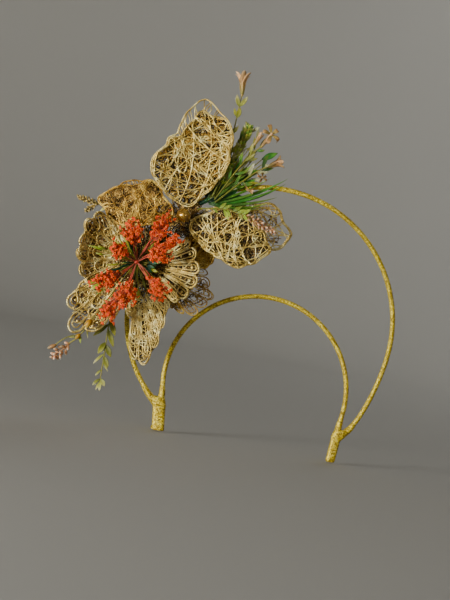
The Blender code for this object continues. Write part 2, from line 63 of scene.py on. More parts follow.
# Camera and stage
VIEW_CENTRE = (-40.5, 0.0, -7.1)
VIEW_DISTANCE = 1000.0
VIEW_ROLL = math.radians(10.5)
LENS = 66.7
STAGE_RADIUS = 2600.0
STAGE_FILLET = 900.0
STAGE_HEIGHT = 4200.0
STAGE_FLAT = 900.0
FLOOR_GAP = 0.2
BACKDROP_TONE = (174, 172, 166)

# Lights, in metres: name, place, radius, watts and tint. The window stands low at the front left.
LIGHTS = [
    ("window_light", (-1.05, -0.95, -0.1), 0.2, 172.0, (1.0, 0.99, 0.95)),
    ("front_fill", (0.9, -1.6, 0.3), 0.7, 11.0, (1.0, 0.97, 0.92)),
    ("back_rim", (0.9, 1.4, 1.3), 0.45, 20.0, (0.96, 0.98, 1.0)),
]
WORLD_TINT = (0.8, 0.8, 0.78, 1.0)
WORLD_STRENGTH = 0.19

# Ribbon wound round the hoops: outer radius, distance from turn to turn and height of the overlap's step
RIBBON_RADIUS = 2.35
RIBBON_PITCH = 3.1
RIBBON_STEP = 0.28
RIBBON_OVERRUN = 2.0

# The thread that lashes a flower to the outer hoop: its turns, their radius, half the length they cover, and
# its points
LASHING_TURNS = 9
LASHING_RADIUS = 2.95
LASHING_REACH = 3.0
LASHING_POINTS = 220
DISC_SIDES = 40

# Seeds of the petals' threads; the threads on a petal's reverse draw from their own
MESH_SEED = 100
LACE_SEED = 200
REVERSE_SEED = 1000


# ---------------------------------------------------------------- shapes

def unit(vector):
    vector = np.asarray(vector, float)
    return vector / np.maximum(np.linalg.norm(vector, axis=-1, keepdims=True), 1e-9)


def tangents(line, closed=False):
    if closed:
        return unit(np.roll(line, -1, 0) - np.roll(line, 1, 0))
    return unit(np.gradient(line, axis=0))


def smooth_line(points, step, closed=False):
    """A Catmull-Rom curve through the points, sampled about every step."""
    points = np.asarray(points, float)
    if closed:
        padded = np.vstack([points[-1], points, points[:2]])
    else:
        padded = np.vstack([2 * points[0] - points[1], points, 2 * points[-1] - points[-2]])
    found = []
    for a, b, c, d in zip(padded, padded[1:], padded[2:], padded[3:]):
        count = max(2, int(np.linalg.norm(c - b) / step) + 1)
        t = np.linspace(0, 1, count, endpoint=False)[:, None]
        found.append(
            b + t * (c - a) / 2 + t**2 * (a - 2.5 * b + 2 * c - d / 2) + t**3 * (1.5 * (b - c) + (d - a) / 2)
        )
    if not closed:
        found.append(points[-1:])
    return np.vstack(found)


def lengths(line):
    return np.concatenate([[0.0], np.cumsum(np.linalg.norm(np.diff(line, axis=0), axis=1))])


def at_length(line, share):
    """The place and heading a share of the way along a line."""
    run = lengths(line)
    target = share * run[-1]
    place = np.array([np.interp(target, run, line[:, i]) for i in range(3)])
    index = min(int(np.searchsorted(run, target)), len(line) - 1)
    return place, tangents(line)[index]


def bow(start, end, bend, count=10):
    """A gently bent line: bend is the vector by which its middle is pushed out."""
    t = np.linspace(0, 1, count)[:, None]
    return np.asarray(start) * (1 - t) + np.asarray(end) * t + 4 * t * (1 - t) * np.asarray(bend)


def spoke(turn):
    """The way out from a middle at an angle in the upright plane."""
    return np.array([math.cos(turn), 0.0, math.sin(turn)])


def rim_way(turn):
    """The way round a middle at an angle in the upright plane, square to its spoke."""
    return np.array([-math.sin(turn), 0.0, math.cos(turn)])


def sides_of(axis):
    """Two directions square to a unit axis and to each other."""
    aside = unit(np.cross(axis, np.eye(3)[np.argmin(np.abs(axis))]))
    return aside, np.cross(axis, aside)


class Shape:
    """Collects closed skins, in millimetres, that become one piece."""

    def __init__(self):
        self.points = []
        self.along = []
        self.faces = []
        self.paint = []
        self.count = 0
        self.ink = 0

    def loft(self, rings, closed=False):
        """A skin over rings of points that run anticlockwise about the direction of travel."""
        rings = np.asarray(rings, float)
        rows, sides = rings.shape[:2]
        index = self.count + np.arange(rows * sides).reshape(rows, sides)
        if closed:
            here, there = index, np.roll(index, -1, 0)
        else:
            here, there = index[:-1], index[1:]
        quads = np.stack([here, np.roll(here, -1, 1), np.roll(there, -1, 1), there], -1).reshape(-1, 4)
        added = quads.tolist()
        if not closed:
            added += [index[0][::-1].tolist(), index[-1].tolist()]
        self.faces += added
        self.paint += [self.ink] * len(added)
        self.points.append(rings.reshape(-1, 3))
        self.along.append(np.repeat(np.linspace(0, 1, rows), sides))
        self.count += rows * sides

    def sweep(self, line, section, ref=None, closed=False):
        """section is (rows or 1, sides, 2): distances aside and above the line."""
        line = np.asarray(line, float)
        heading = tangents(line, closed)
        if ref is None:
            ref = np.eye(3)[np.argmin(np.abs(heading).mean(0))]
        aside = unit(np.cross(ref, heading))
        above = np.cross(heading, aside)
        rings = line[:, None] + section[..., :1] * aside[:, None] + section[..., 1:] * above[:, None]
        self.loft(rings, closed)

    def tube(self, line, radius, sides=6, ref=None, closed=False):
        turn = np.linspace(0, math.tau, sides, endpoint=False)
        circle = np.stack([np.cos(turn), np.sin(turn)], -1)[None]
        radius = np.broadcast_to(np.asarray(radius, float), len(line))[:, None, None]
        self.sweep(line, circle * radius, ref, closed)

    def blade(self, line, half, up, thick=0.2, cup=0.0, sides=8):
        """A thin closed leaf: half is its half width along the line, cup lifts its sides."""
        turn = np.linspace(0, math.tau, sides, endpoint=False)
        half = np.broadcast_to(np.asarray(half, float), len(line))[:, None]
        thin = thick * np.minimum(1.0, half / 0.6 + 0.1)
        aside = half * np.cos(turn)
        above = thin * np.sin(turn) + cup * half * np.cos(turn) ** 2
        self.sweep(line, np.stack([aside, above], -1), up)

    def ball(self, centre, radius, axis=UP, tall=None, rows=6, sides=8):
        """A ball, stretched to half height tall along its axis."""
        tall = radius if tall is None else tall
        angle = np.linspace(-1.45, 1.45, rows)
        line = np.asarray(centre) + np.outer(np.sin(angle) * tall, unit(axis))
        turn = np.linspace(0, math.tau, sides, endpoint=False)
        circle = np.stack([np.cos(turn), np.sin(turn)], -1)[None]
        axis = unit(axis)
        ref = np.eye(3)[np.argmin(np.abs(axis))]
        aside = unit(np.cross(ref, axis))
        above = np.cross(axis, aside)
        ring = circle * (np.cos(angle) * radius)[:, None, None]
        self.loft(line[:, None] + ring[..., :1] * aside + ring[..., 1:] * above)

    def piece(self, name, materials, body, replaces=(), slot=None):
        mesh = bpy.data.meshes.new(name)
        mesh.from_pydata(np.vstack(self.points) * MM, [], self.faces)
        mesh.attributes.new("along", "FLOAT", "POINT").data.foreach_set(
            "value", np.concatenate(self.along).astype(np.float32)
        )
        for material in materials:
            mesh.materials.append(material)
        mesh.polygons.foreach_set("material_index", self.paint)
        mesh.shade_smooth()
        mesh.update()
        obj = bpy.data.objects.new(name, mesh)
        bpy.context.scene.collection.objects.link(obj)
        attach(obj, body)
        if replaces:
            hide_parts(*replaces)
        return obj


# ---------------------------------------------------------------- the frame's nodes

def cad_mesh(node):
    data = frame["nodes"][node].data
    points = np.array([vertex.co for vertex in data.vertices]) / MM
    faces = [tuple(polygon.vertices) for polygon in data.polygons]
    return points, faces


def cad_points(node):
    return np.unique(np.round(cad_mesh(node)[0], 3), axis=0)


def box_of(node):
    """The low and high corners of a CAD node's box."""
    return (np.array(corner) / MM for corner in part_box(node))


def cad_centre(node):
    points = cad_points(node)
    return (points.min(0) + points.max(0)) / 2


def joint_place(body):
    found = [joint for joint in frame["joints"] if joint["child"] == body]
    return np.array(found[0]["pos_m"]) / MM


def ring_centres(points, key, gap):
    """The centres of a tube's rings of points, told apart by jumps in a sorted key."""
    order = np.argsort(key)
    splits = np.where(np.diff(key[order]) > gap)[0] + 1
    return np.array([points[group].mean(0) for group in np.split(order, splits)])


def stem_line(node, root):
    """A wired stem's centre line from its root, smoothed."""
    points = cad_points(node)
    heading = np.linalg.svd(points - points.mean(0))[2][0]
    centres = ring_centres(points, points @ heading, 2.5)
    if np.linalg.norm(centres[0] - root) > np.linalg.norm(centres[-1] - root):
        centres = centres[::-1]
    return smooth_line(centres, 2.0)


def hoop_line(node):
    """A hoop's centre line from its right-hand end over the top to its left-hand end."""
    points = cad_points(node)
    low, high = points.min(0), points.max(0)
    reach = (high[0] - low[0]) / 2
    middle = np.array([(low[0] + high[0]) / 2, high[2] - reach])
    angle = np.arctan2(points[:, 2] - middle[1], points[:, 0] - middle[0])
    angle[angle < -math.pi / 2] += math.tau
    return ring_centres(points, angle, 0.02)


class Surface:
    """A petal's middle surface: flat coordinates across and along it, and a smooth height over them."""

    def __init__(self, node, root):
        points, faces = cad_mesh(node)
        unique = cad_points(node)
        self.centre = (unique.min(0) + unique.max(0)) / 2
        self.normal = np.linalg.svd(unique - unique.mean(0))[2][2]
        if self.normal @ FRONT < 0:
            self.normal = -self.normal
        along = self.centre - root
        self.along = unit(along - self.normal * (along @ self.normal))
        self.across = np.cross(self.along, self.normal)
        self.centre = self.centre - self.normal * ((self.centre - unique.mean(0)) @ self.normal)
        flat = self.flatten(unique)
        self.scale = np.abs(flat[:, :2]).max()
        self.fit = np.linalg.lstsq(self.terms(flat[:, 0], flat[:, 1]), flat[:, 2], rcond=None)[0]
        self.turns = np.linspace(0, math.tau, 180, endpoint=False)
        self.reach = self.outline(self.flatten(points), faces)

    def flatten(self, points):
        away = points - self.centre
        return np.stack([away @ self.across, away @ self.along, away @ self.normal], -1)

    def terms(self, s, t):
        s = s / self.scale
        t = t / self.scale
        return np.stack([s**i * t**j for i in range(4) for j in range(4 - i)], -1)

    def outline(self, flat, faces):
        """The distance from the centre to the outline in each direction."""
        ends = np.array([(face[i], face[i - 1]) for face in faces for i in range(len(face))])
        a, b = flat[ends[:, 0], :2], flat[ends[:, 1], :2]
        edge = b - a
        reach = np.zeros(len(self.turns))
        for i, turn in enumerate(self.turns):
            ray = np.array([math.cos(turn), math.sin(turn)])
            cross = ray[0] * edge[:, 1] - ray[1] * edge[:, 0]
            cross = np.where(np.abs(cross) < 1e-9, 1e-9, cross)
            far = (a[:, 0] * edge[:, 1] - a[:, 1] * edge[:, 0]) / cross
            share = (a[:, 0] * ray[1] - a[:, 1] * ray[0]) / cross
            hit = (share >= 0) & (share <= 1) & (far > 0)
            reach[i] = far[hit].max() if hit.any() else 1.0
        kernel = np.array([1, 2, 3, 2, 1]) / 9
        wrapped = np.concatenate([reach[-2:], reach, reach[:2]])
        return np.convolve(wrapped, kernel, "valid")

    def swell(self, bumps):
        """Pushes the outline out or in: each bump is a direction and a width in degrees, and a distance."""
        for degrees, wide, amount in bumps:
            off = (np.degrees(self.turns) - degrees + 180) % 360 - 180
            self.reach = self.reach + amount * np.exp(-((off / wide) ** 2))

    def edge(self, turn):
        reach = np.interp(np.mod(turn, math.tau), self.turns, self.reach, period=math.tau)
        return np.stack([reach * np.cos(turn), reach * np.sin(turn)], -1)

    def share(self, flat):
        """How far out a flat place lies: 0 at the centre, 1 on the outline."""
        turn = np.arctan2(flat[..., 1], flat[..., 0])
        return np.linalg.norm(flat, axis=-1) / np.linalg.norm(self.edge(turn), axis=-1)

    def held(self, flat, limit):
        """Flat places, with those beyond a share of the outline drawn in to it."""
        share = self.share(flat)
        return flat * np.where(share > limit, limit / np.maximum(share, 1e-6), 1.0)[..., None]

    def place(self, flat, lift=0.0):
        s, t = flat[..., 0], flat[..., 1]
        height = self.terms(s, t) @ self.fit + lift
        return (
            self.centre
            + s[..., None] * self.across
            + t[..., None] * self.along
            + np.asarray(height)[..., None] * self.normal
        )


# ---------------------------------------------------------------- materials

def linear(part):
    share = part / 255.0
    return share / 12.92 if share <= 0.04045 else ((share + 0.055) / 1.055) ** 2.4


def colour(srgb):
    return (*[linear(part) for part in srgb], 1.0)


class Finish:
    """A procedural material: nodes are added one by one and end in one Principled shader."""

    def __init__(self, name):
        self.material = bpy.data.materials.new(name)
        self.material.use_nodes = True
        self.nodes = self.material.node_tree.nodes
        self.links = self.material.node_tree.links
        self.shader = self.nodes["Principled BSDF"]
        self.space = self.nodes.new("ShaderNodeTexCoord").outputs["Object"]

    def link(self, source, target):
        self.links.new(source, target)

    def noise(self, scale, detail=3.0):
        node = self.nodes.new("ShaderNodeTexNoise")
        node.inputs["Scale"].default_value = scale
        node.inputs["Detail"].default_value = detail
        self.link(self.space, node.inputs["Vector"])
        return node.outputs["Fac"]

    def cells(self, scale):
        """Voronoi cells: (distance to the cell's centre, the cell's random colour)."""
        node = self.nodes.new("ShaderNodeTexVoronoi")
        node.inputs["Scale"].default_value = scale
        self.link(self.space, node.inputs["Vector"])
        return node.outputs["Distance"], node.outputs["Color"]

    def ramp(self, source, stops):
        node = self.nodes.new("ShaderNodeValToRGB")
        ramp = node.color_ramp
        while len(ramp.elements) < len(stops):
            ramp.elements.new(0.5)
        for element, (place, srgb) in zip(ramp.elements, stops):
            element.position = place
            element.color = colour(srgb)
        self.link(source, node.inputs["Fac"])
        return node.outputs["Color"]

    def spread(self, source, low, high):
        node = self.nodes.new("ShaderNodeMapRange")
        node.inputs["To Min"].default_value = low
        node.inputs["To Max"].default_value = high
        self.link(source, node.inputs["Value"])
        return node.outputs["Result"]

    def mix(self, share, first, second, mode="MIX"):
        node = self.nodes.new("ShaderNodeMix")
        node.data_type = "RGBA"
        node.blend_type = mode
        for socket, value in zip((node.inputs[0], node.inputs[6], node.inputs[7]), (share, first, second)):
            if isinstance(value, (int, float, tuple)):
                socket.default_value = value
            else:
                self.link(value, socket)
        return node.outputs[2]

    def island(self):
        return self.nodes.new("ShaderNodeNewGeometry").outputs["Random Per Island"]

    def along(self):
        node = self.nodes.new("ShaderNodeAttribute")
        node.attribute_name = "along"
        return node.outputs["Fac"]

    def bump(self, height, distance, strength=1.0, under=None):
        node = self.nodes.new("ShaderNodeBump")
        node.inputs["Distance"].default_value = distance
        node.inputs["Strength"].default_value = strength
        self.link(height, node.inputs["Height"])
        if under is not None:
            self.link(under, node.inputs["Normal"])
        return node.outputs["Normal"]

    def done(self, **inputs):
        for name, value in inputs.items():
            socket = self.shader.inputs[name.replace("_", " ")]
            if isinstance(value, (int, float, tuple)):
                socket.default_value = value
            else:
                self.link(value, socket)
        return self.material


def metal_thread(name, dark, middle, light, metallic=0.75, rough=(0.25, 0.5)):
    """Metallic yarn: strands differ in tone, and fine flakes carry painted glints, bright specks screened
    into the base colour.
    """
    finish = Finish(name)
    patches = finish.noise(140.0)
    tone = finish.ramp(patches, [(0.3, dark), (0.5, middle), (0.68, light)])
    strand = finish.ramp(finish.island(), [(0.0, (150, 150, 150)), (1.0, (255, 255, 255))])
    base = finish.mix(0.55, tone, finish.mix(1.0, tone, strand, "MULTIPLY"))
    near, flake = finish.cells(1500.0)
    # Painted glint: the brightest flake cells become bright gold specks screened over the base colour.
    painted_glint = finish.ramp(flake, [(0.74, (0, 0, 0)), (0.82, (255, 222, 130))])
    base = finish.mix(0.5, base, painted_glint, "SCREEN")
    fibre = finish.bump(finish.noise(3000.0), 0.0003, 0.6)
    return finish.done(
        Base_Color=base,
        Metallic=metallic,
        Roughness=finish.spread(finish.noise(900.0), *rough),
        Normal=finish.bump(near, 0.0002, 0.5, fibre),
    )


def glitter_ribbon():
    """Yellow-gold glitter ribbon: a weave packed with flakes, some bright and some dull."""
    finish = Finish("gold_glitter_ribbon")
    near, flake = finish.cells(1150.0)
    tones = [(0.1, (112, 88, 0)), (0.4, (192, 162, 8)), (0.6, (230, 202, 30)), (0.9, (255, 240, 116))]
    tone = finish.ramp(flake, tones)
    wide = finish.ramp(finish.noise(90.0), [(0.35, (215, 208, 190)), (0.65, (255, 255, 255))])
    base = finish.mix(0.8, tone, wide, "MULTIPLY")
    fine = finish.bump(finish.noise(4200.0), 0.0002, 0.5)
    return finish.done(
        Base_Color=base,
        Metallic=0.4,
        Roughness=finish.spread(flake, 0.25, 0.6),
        Normal=finish.bump(near, 0.0004, 0.6, fine),
    )


def leafy(name, root, middle, tip, rough=0.5, shine=0.3, dull=(165, 170, 150)):
    """Soft moulded leaf: tone runs from root to tip, with veins and blotches."""
    finish = Finish(name)
    run = finish.ramp(finish.along(), [(0.0, root), (0.55, middle), (1.0, tip)])
    blot = finish.ramp(finish.noise(220.0), [(0.3, (190, 190, 190)), (0.7, (255, 255, 255))])
    each = finish.ramp(finish.island(), [(0.0, dull), (1.0, (255, 255, 255))])
    base = finish.mix(1.0, finish.mix(0.8, run, blot, "MULTIPLY"), each, "MULTIPLY")
    return finish.done(
        Base_Color=base,
        Roughness=finish.spread(finish.noise(700.0), rough - 0.12, rough + 0.12),
        Specular_IOR_Level=shine,
        Subsurface_Weight=0.12,
        Subsurface_Radius=(0.002, 0.0015, 0.0008),
        Subsurface_Scale=0.5,
        Normal=finish.bump(finish.noise(1200.0), 0.0003, 0.6),
    )


def felt():
    finish = Finish("dark_felt")
    fibres = finish.noise(1800.0, 8.0)
    base = finish.ramp(fibres, [(0.35, (48, 36, 14)), (0.65, (104, 84, 40))])
    return finish.done(Base_Color=base, Roughness=0.95, Normal=finish.bump(fibres, 0.0006, 0.9))


def pearl():
    """A bronze-gold pearl bead: drifting tone under a clear coat."""
    finish = Finish("bronze_pearl")
    tones = [(0.3, (112, 74, 10)), (0.55, (160, 118, 34)), (0.75, (208, 168, 76))]
    base = finish.ramp(finish.noise(120.0), tones)
    return finish.done(
        Base_Color=base,
        Metallic=0.7,
        Roughness=finish.spread(finish.noise(600.0), 0.18, 0.3),
        Coat_Weight=0.8,
        Coat_Roughness=0.06,
        Normal=finish.bump(finish.noise(900.0), 0.0001, 0.3),
    )


def steel():
    finish = Finish("spring_steel")
    scratch = finish.noise(2500.0)
    return finish.done(
        Base_Color=finish.ramp(scratch, [(0.3, (110, 108, 104)), (0.7, (176, 174, 168))]),
        Metallic=1.0,
        Roughness=finish.spread(scratch, 0.25, 0.45),
        Normal=finish.bump(scratch, 0.00005, 0.4),
    )


def backdrop():
    finish = Finish("plain_backdrop")
    return finish.done(Base_Color=colour(BACKDROP_TONE), Roughness=0.9)


def make_finishes():
    return {
        "ribbon": glitter_ribbon(),
        "steel": steel(),
        "felt": felt(),
        "pearl": pearl(),
        # Pale, gold, bronze and deep are copies of one gold yarn, from light to dark. Bronze and deep go on
        # petal bodies, the layers behind and the tangles, as painted shade between and under the threads;
        # deep, near black, is used only as painted shade.
        "pale": metal_thread("pale_gold_thread", (168, 136, 54), (226, 196, 106), (255, 242, 170), 0.6),
        "gold": metal_thread("bright_gold_thread", (130, 90, 16), (198, 150, 50), (250, 214, 104), 0.65),
        "bronze": metal_thread("bronze_gold_thread", (70, 46, 10), (130, 94, 36), (214, 172, 90), 0.65),
        "deep": metal_thread("painted_shade_gold_thread", (18, 11, 2), (50, 34, 8), (112, 82, 30), 0.6),
        "lace": metal_thread("lace_cord", (170, 138, 58), (230, 200, 112), (255, 244, 176), 0.6),
        "blossom": leafy(
            "coral_blossom", (236, 44, 2), (255, 86, 10), (255, 150, 60), 0.5, 0.3, (230, 180, 165)
        ),
        "blossom_stem": leafy("coral_stem", (206, 122, 98), (220, 98, 78), (236, 72, 40), 0.5),
        "leaf": leafy("fresh_leaf", (44, 84, 16), (86, 136, 30), (160, 186, 66)),
        "dark_leaf": leafy("dark_leaf", (4, 34, 22), (10, 62, 34), (40, 110, 44), 0.5, 0.2),
        "bright_leaf": leafy("bright_leaf", (36, 100, 20), (60, 156, 36), (140, 206, 76)),
        "cream_leaf": leafy("cream_leaf", (150, 160, 80), (216, 212, 160), (250, 246, 220)),
        "pale_leaf": leafy("pale_leaf", (132, 142, 44), (186, 184, 84), (232, 224, 168)),
        "lime_leaf": leafy("lime_leaf", (120, 150, 30), (176, 196, 50), (226, 236, 120)),
        "olive": leafy("olive_leaf", (104, 112, 16), (152, 152, 34), (196, 190, 76)),
        "stem": leafy("stem_green", (112, 118, 30), (150, 146, 48), (176, 164, 72)),
        "lily": leafy("peach_lily", (186, 176, 84), (236, 176, 112), (252, 208, 160)),
        "brown_lily": leafy("brown_lily", (140, 130, 60), (184, 130, 76), (230, 186, 134)),
        "bud": leafy("peach_bud", (226, 160, 92), (244, 178, 130), (255, 234, 208)),
        "amber_bud": leafy("amber_bud", (196, 132, 12), (232, 166, 30), (252, 214, 110)),
        "tan_bud": leafy("tan_bud", (156, 128, 56), (190, 160, 88), (228, 204, 140)),
    }


# ---------------------------------------------------------------- hoops and feet

def wound(shape, line, radius, pitch, depth, sides=14, step=0.5):
    """Ribbon wound round a line: each turn overlaps the last, so a low step climbs round it."""
    line = smooth_line(line, step)
    run = lengths(line)[:, None]
    turn = np.linspace(0, math.tau, sides, endpoint=False)[None]
    phase = run / pitch - turn / math.tau + 0.12 * np.sin(run / 17.0)
    saw = phase - np.floor(phase)
    ridge = np.where(saw < 0.8, saw / 0.8, (1 - saw) / 0.2)
    out = radius - depth + depth * ridge + 0.05 * np.sin(run * 1.9 + 3 * turn)
    section = np.stack([out * np.cos(turn), out * np.sin(turn)], -1)
    shape.sweep(line, section, FRONT)


def make_hoops(finishes):
    for name in ("band", "halo"):
        line = hoop_line(name + "_wrap")
        first = line[0] + unit(line[0] - line[1]) * RIBBON_OVERRUN
        last = line[-1] + unit(line[-1] - line[-2]) * RIBBON_OVERRUN
        shape = Shape()
        wound(shape, np.vstack([first, line, last]), RIBBON_RADIUS, RIBBON_PITCH, RIBBON_STEP)
        ribbon = [finishes["ribbon"]]
        shape.piece(name + "_wound_ribbon", ribbon, "headpiece", [name + "_wrap"], "gold_ribbon")
        frame["nodes"][name + "_core_wire"].data.materials.clear()
        frame["nodes"][name + "_core_wire"].data.materials.append(finishes["steel"])


def rounded_section(half_x, half_y, sides=20, power=0.62):
    turn = np.linspace(0, math.tau, sides, endpoint=False)
    c, s = np.cos(turn), np.sin(turn)
    return np.stack([half_x * np.sign(c) * np.abs(c) ** power, half_y * np.sign(s) * np.abs(s) ** power], -1)


def corner(points, high, right):
    """The corner of a flat plate's outline at its top or bottom end, on its left or right side."""
    z = points[:, 2].max() if high else points[:, 2].min()
    level = points[np.abs(points[:, 2] - z) < 1.5]
    return level[np.argmax(level[:, 0] if right else -level[:, 0])]


def wind_stack(shape, levels, pitch, depth, tilt):
    """A stack of rounded sections (z, left x, right x, half depth) with slanting ribbon edges across it."""
    levels = np.asarray(levels, float)
    z = np.arange(levels[:, 0].min(), levels[:, 0].max() + 0.01, 0.45)
    order = np.argsort(levels[:, 0])
    left, right, deep = (np.interp(z, levels[order, 0], levels[order, i]) for i in (1, 2, 3))
    rings = []
    for height, x0, x1, half in zip(z, left, right, deep):
        flat = rounded_section((x1 - x0) / 2, half)
        phase = height / pitch + tilt * flat[:, 0] / 10.0 * np.sign(flat[:, 1] + 1e-9)
        saw = phase - np.floor(phase)
        ridge = np.where(saw < 0.8, saw / 0.8, (1 - saw) / 0.2)
        flat = flat * (1 - (1 - ridge)[:, None] * depth / half)
        rings.append(np.stack([(x0 + x1) / 2 + flat[:, 0], flat[:, 1], np.full(len(flat), height)], -1))
    shape.loft(rings)


def make_foot(side, finishes, ends):
    """A foot: the tail, the web that holds both hoops, and an arm of ribbon climbing each hoop."""
    web = cad_points(side + "_foot_web")
    tail = cad_points(side + "_foot_tail")
    shape = Shape()
    top_left, top_right = corner(tail, True, False), corner(tail, True, True)
    low_left, low_right = corner(tail, False, False), corner(tail, False, True)
    seam = web[:, 2].min()
    crotch = seam + 8.6
    foot = low_left[2]
    levels = [
        (foot, low_left[0] + 0.9, low_right[0] - 0.9, 2.7),
        (foot + 0.9, low_left[0], low_right[0], 3.5),
        (top_left[2], top_left[0], top_right[0], 3.6),
    ]
    upper = web[web[:, 2] > seam + 8.0]
    wide_left, wide_right = upper[:, 0].min(), upper[:, 0].max()
    lean = 0.72
    spread_left, spread_right = (1.3, 0.1) if side == "left" else (0.2, 2.6)
    grow_left = wide_left - top_left[0]
    grow_right = wide_right - top_right[0]
    levels += [
        (seam + 1.5, top_left[0] - spread_left, top_right[0] + spread_right, 4.1),
        (crotch - 1.0, top_left[0] + lean * grow_left, top_right[0] + lean * grow_right, 4.2),
        (crotch + 0.6, top_left[0] + 0.7 * grow_left + 1.2, top_right[0] + 0.7 * grow_right - 1.2, 2.6),
    ]
    wind_stack(shape, levels, 3.4, 0.16, 0.22)
    middle = (top_left + top_right) / 2
    for end, heading in ends:
        inner = np.array([middle[0] * 0.72 + end[0] * 0.28, 0.0, seam + 2.0])
        line = np.vstack([inner, (inner + end) / 2 - heading * 0.5, end - heading * 1.0, end + heading * 5.0])
        smooth = smooth_line(line, 0.5)
        run = lengths(smooth)
        thick = np.interp(run / run[-1], [0, 0.45, 0.8, 1.0], [3.3, 3.2, 2.8, 2.45])
        ridge = 0.14 * np.abs(np.sin(run * math.pi / 3.2))
        shape.tube(smooth, thick - ridge, 16, FRONT)
    if side == "left":
        offsets = [
            (-0.1, -1.0, 3.4), (-0.4, -2.2, 1.8), (1.2, -3.1, 0.8), (4.0, -3.3, 0.55), (8.0, -3.0, 0.7),
        ]
        lip = np.array([[low_left[0] + x, y, foot + z] for x, y, z in offsets])
        shape.tube(smooth_line(lip, 0.4), 0.62, 8, FRONT)
    stands_for = [side + "_foot_web", side + "_foot_tail"]
    shape.piece(side + "_foot_ribbon", [finishes["ribbon"]], "headpiece", stands_for, "gold_ribbon")


def make_feet(finishes):
    band = hoop_line("band_wrap")
    halo = hoop_line("halo_wrap")
    for side, index in (("right", 0), ("left", -1)):
        inward = 1 if index == 0 else -2
        ends = [(line[index], unit(line[inward] - line[index])) for line in (band, halo)]
        make_foot(side, finishes, ends)


# ---------------------------------------------------------------- flowers

def cord(shape, line, radius, twist, closed, normal):
    """Two plies of thread twisted about a line."""
    line = smooth_line(line, 0.9, closed)
    heading = tangents(line, closed)
    aside = unit(np.cross(normal, heading))
    above = np.cross(heading, aside)
    run = lengths(line)
    turns = run / twist * math.tau
    if closed:
        total = run[-1] + np.linalg.norm(line[0] - line[-1])
        turns = run / total * round(total / twist) * math.tau
    for i in range(2):
        phase = turns + i * math.pi
        offset = aside * np.cos(phase)[:, None] + above * np.sin(phase)[:, None]
        shape.tube(line + offset * radius * 0.5, radius * 0.62, 5, normal, closed)


def chords(shape, surface, count, radius, lift, limit, rng, wobble=0.12, spread=0.5):
    """Threads laid across the petal from edge to edge in every direction."""
    for _ in range(count):
        first = rng.uniform(0, math.tau)
        second = first + rng.uniform(0.9, math.tau - 0.9)
        start, end = surface.edge(np.array([first, second])) * limit
        span = end - start
        size = np.linalg.norm(span)
        t = np.linspace(0, 1, max(6, int(size / 3.0)))[:, None]
        side = np.array([-span[1], span[0]]) * rng.uniform(-wobble, wobble)
        flat = surface.held(start + span * t + 4 * t * (1 - t) * side, limit)
        wave = rng.uniform(-spread, spread) + 0.35 * np.sin(t[:, 0] * rng.uniform(6, 16) + rng.uniform(0, 6))
        shape.tube(surface.place(flat, lift + wave), radius * rng.uniform(0.8, 1.2), 5, surface.normal)


def curls(shape, surface, count, radius, size, lift, limit, rng):
    """Small loose loops of thread scattered over the petal."""
    for _ in range(count):
        turn = rng.uniform(0, math.tau)
        centre = surface.edge(np.array([turn]))[0] * limit * math.sqrt(rng.uniform(0, 0.95))
        across = size * rng.uniform(0.6, 1.3)
        t = np.linspace(0, math.tau * rng.uniform(0.5, 0.9), 8) + rng.uniform(0, math.tau)
        flat = centre + np.stack([across * np.cos(t), across * rng.uniform(0.5, 1.0) * np.sin(t)], -1)
        flat = surface.held(flat, limit)
        shape.tube(surface.place(flat, lift + rng.uniform(-0.4, 0.4)), radius, 4, surface.normal)


def meander(shape, surface, count, radius, size, lift, limit, rng, bend=0.42):
    """Threads that wander over the petal, bending this way and that along their length."""
    for _ in range(count):
        turn = rng.uniform(0, math.tau)
        middle = surface.edge(np.array([turn]))[0] * limit * math.sqrt(rng.uniform(0, 1))
        steps = int(size * rng.uniform(0.6, 1.5) / 2.5) + 3
        heading = rng.uniform(0, math.tau) + np.cumsum(rng.normal(0, bend, steps))
        flat = 2.5 * np.cumsum(np.stack([np.cos(heading), np.sin(heading)], -1), axis=0)
        flat = surface.held(middle + flat - flat[steps // 2], limit)
        wave = rng.uniform(-0.4, 0.5) + 0.3 * np.sin(np.arange(steps) * rng.uniform(0.5, 1.2))
        shape.tube(surface.place(flat, lift + wave), radius * rng.uniform(0.8, 1.15), 5, surface.normal)


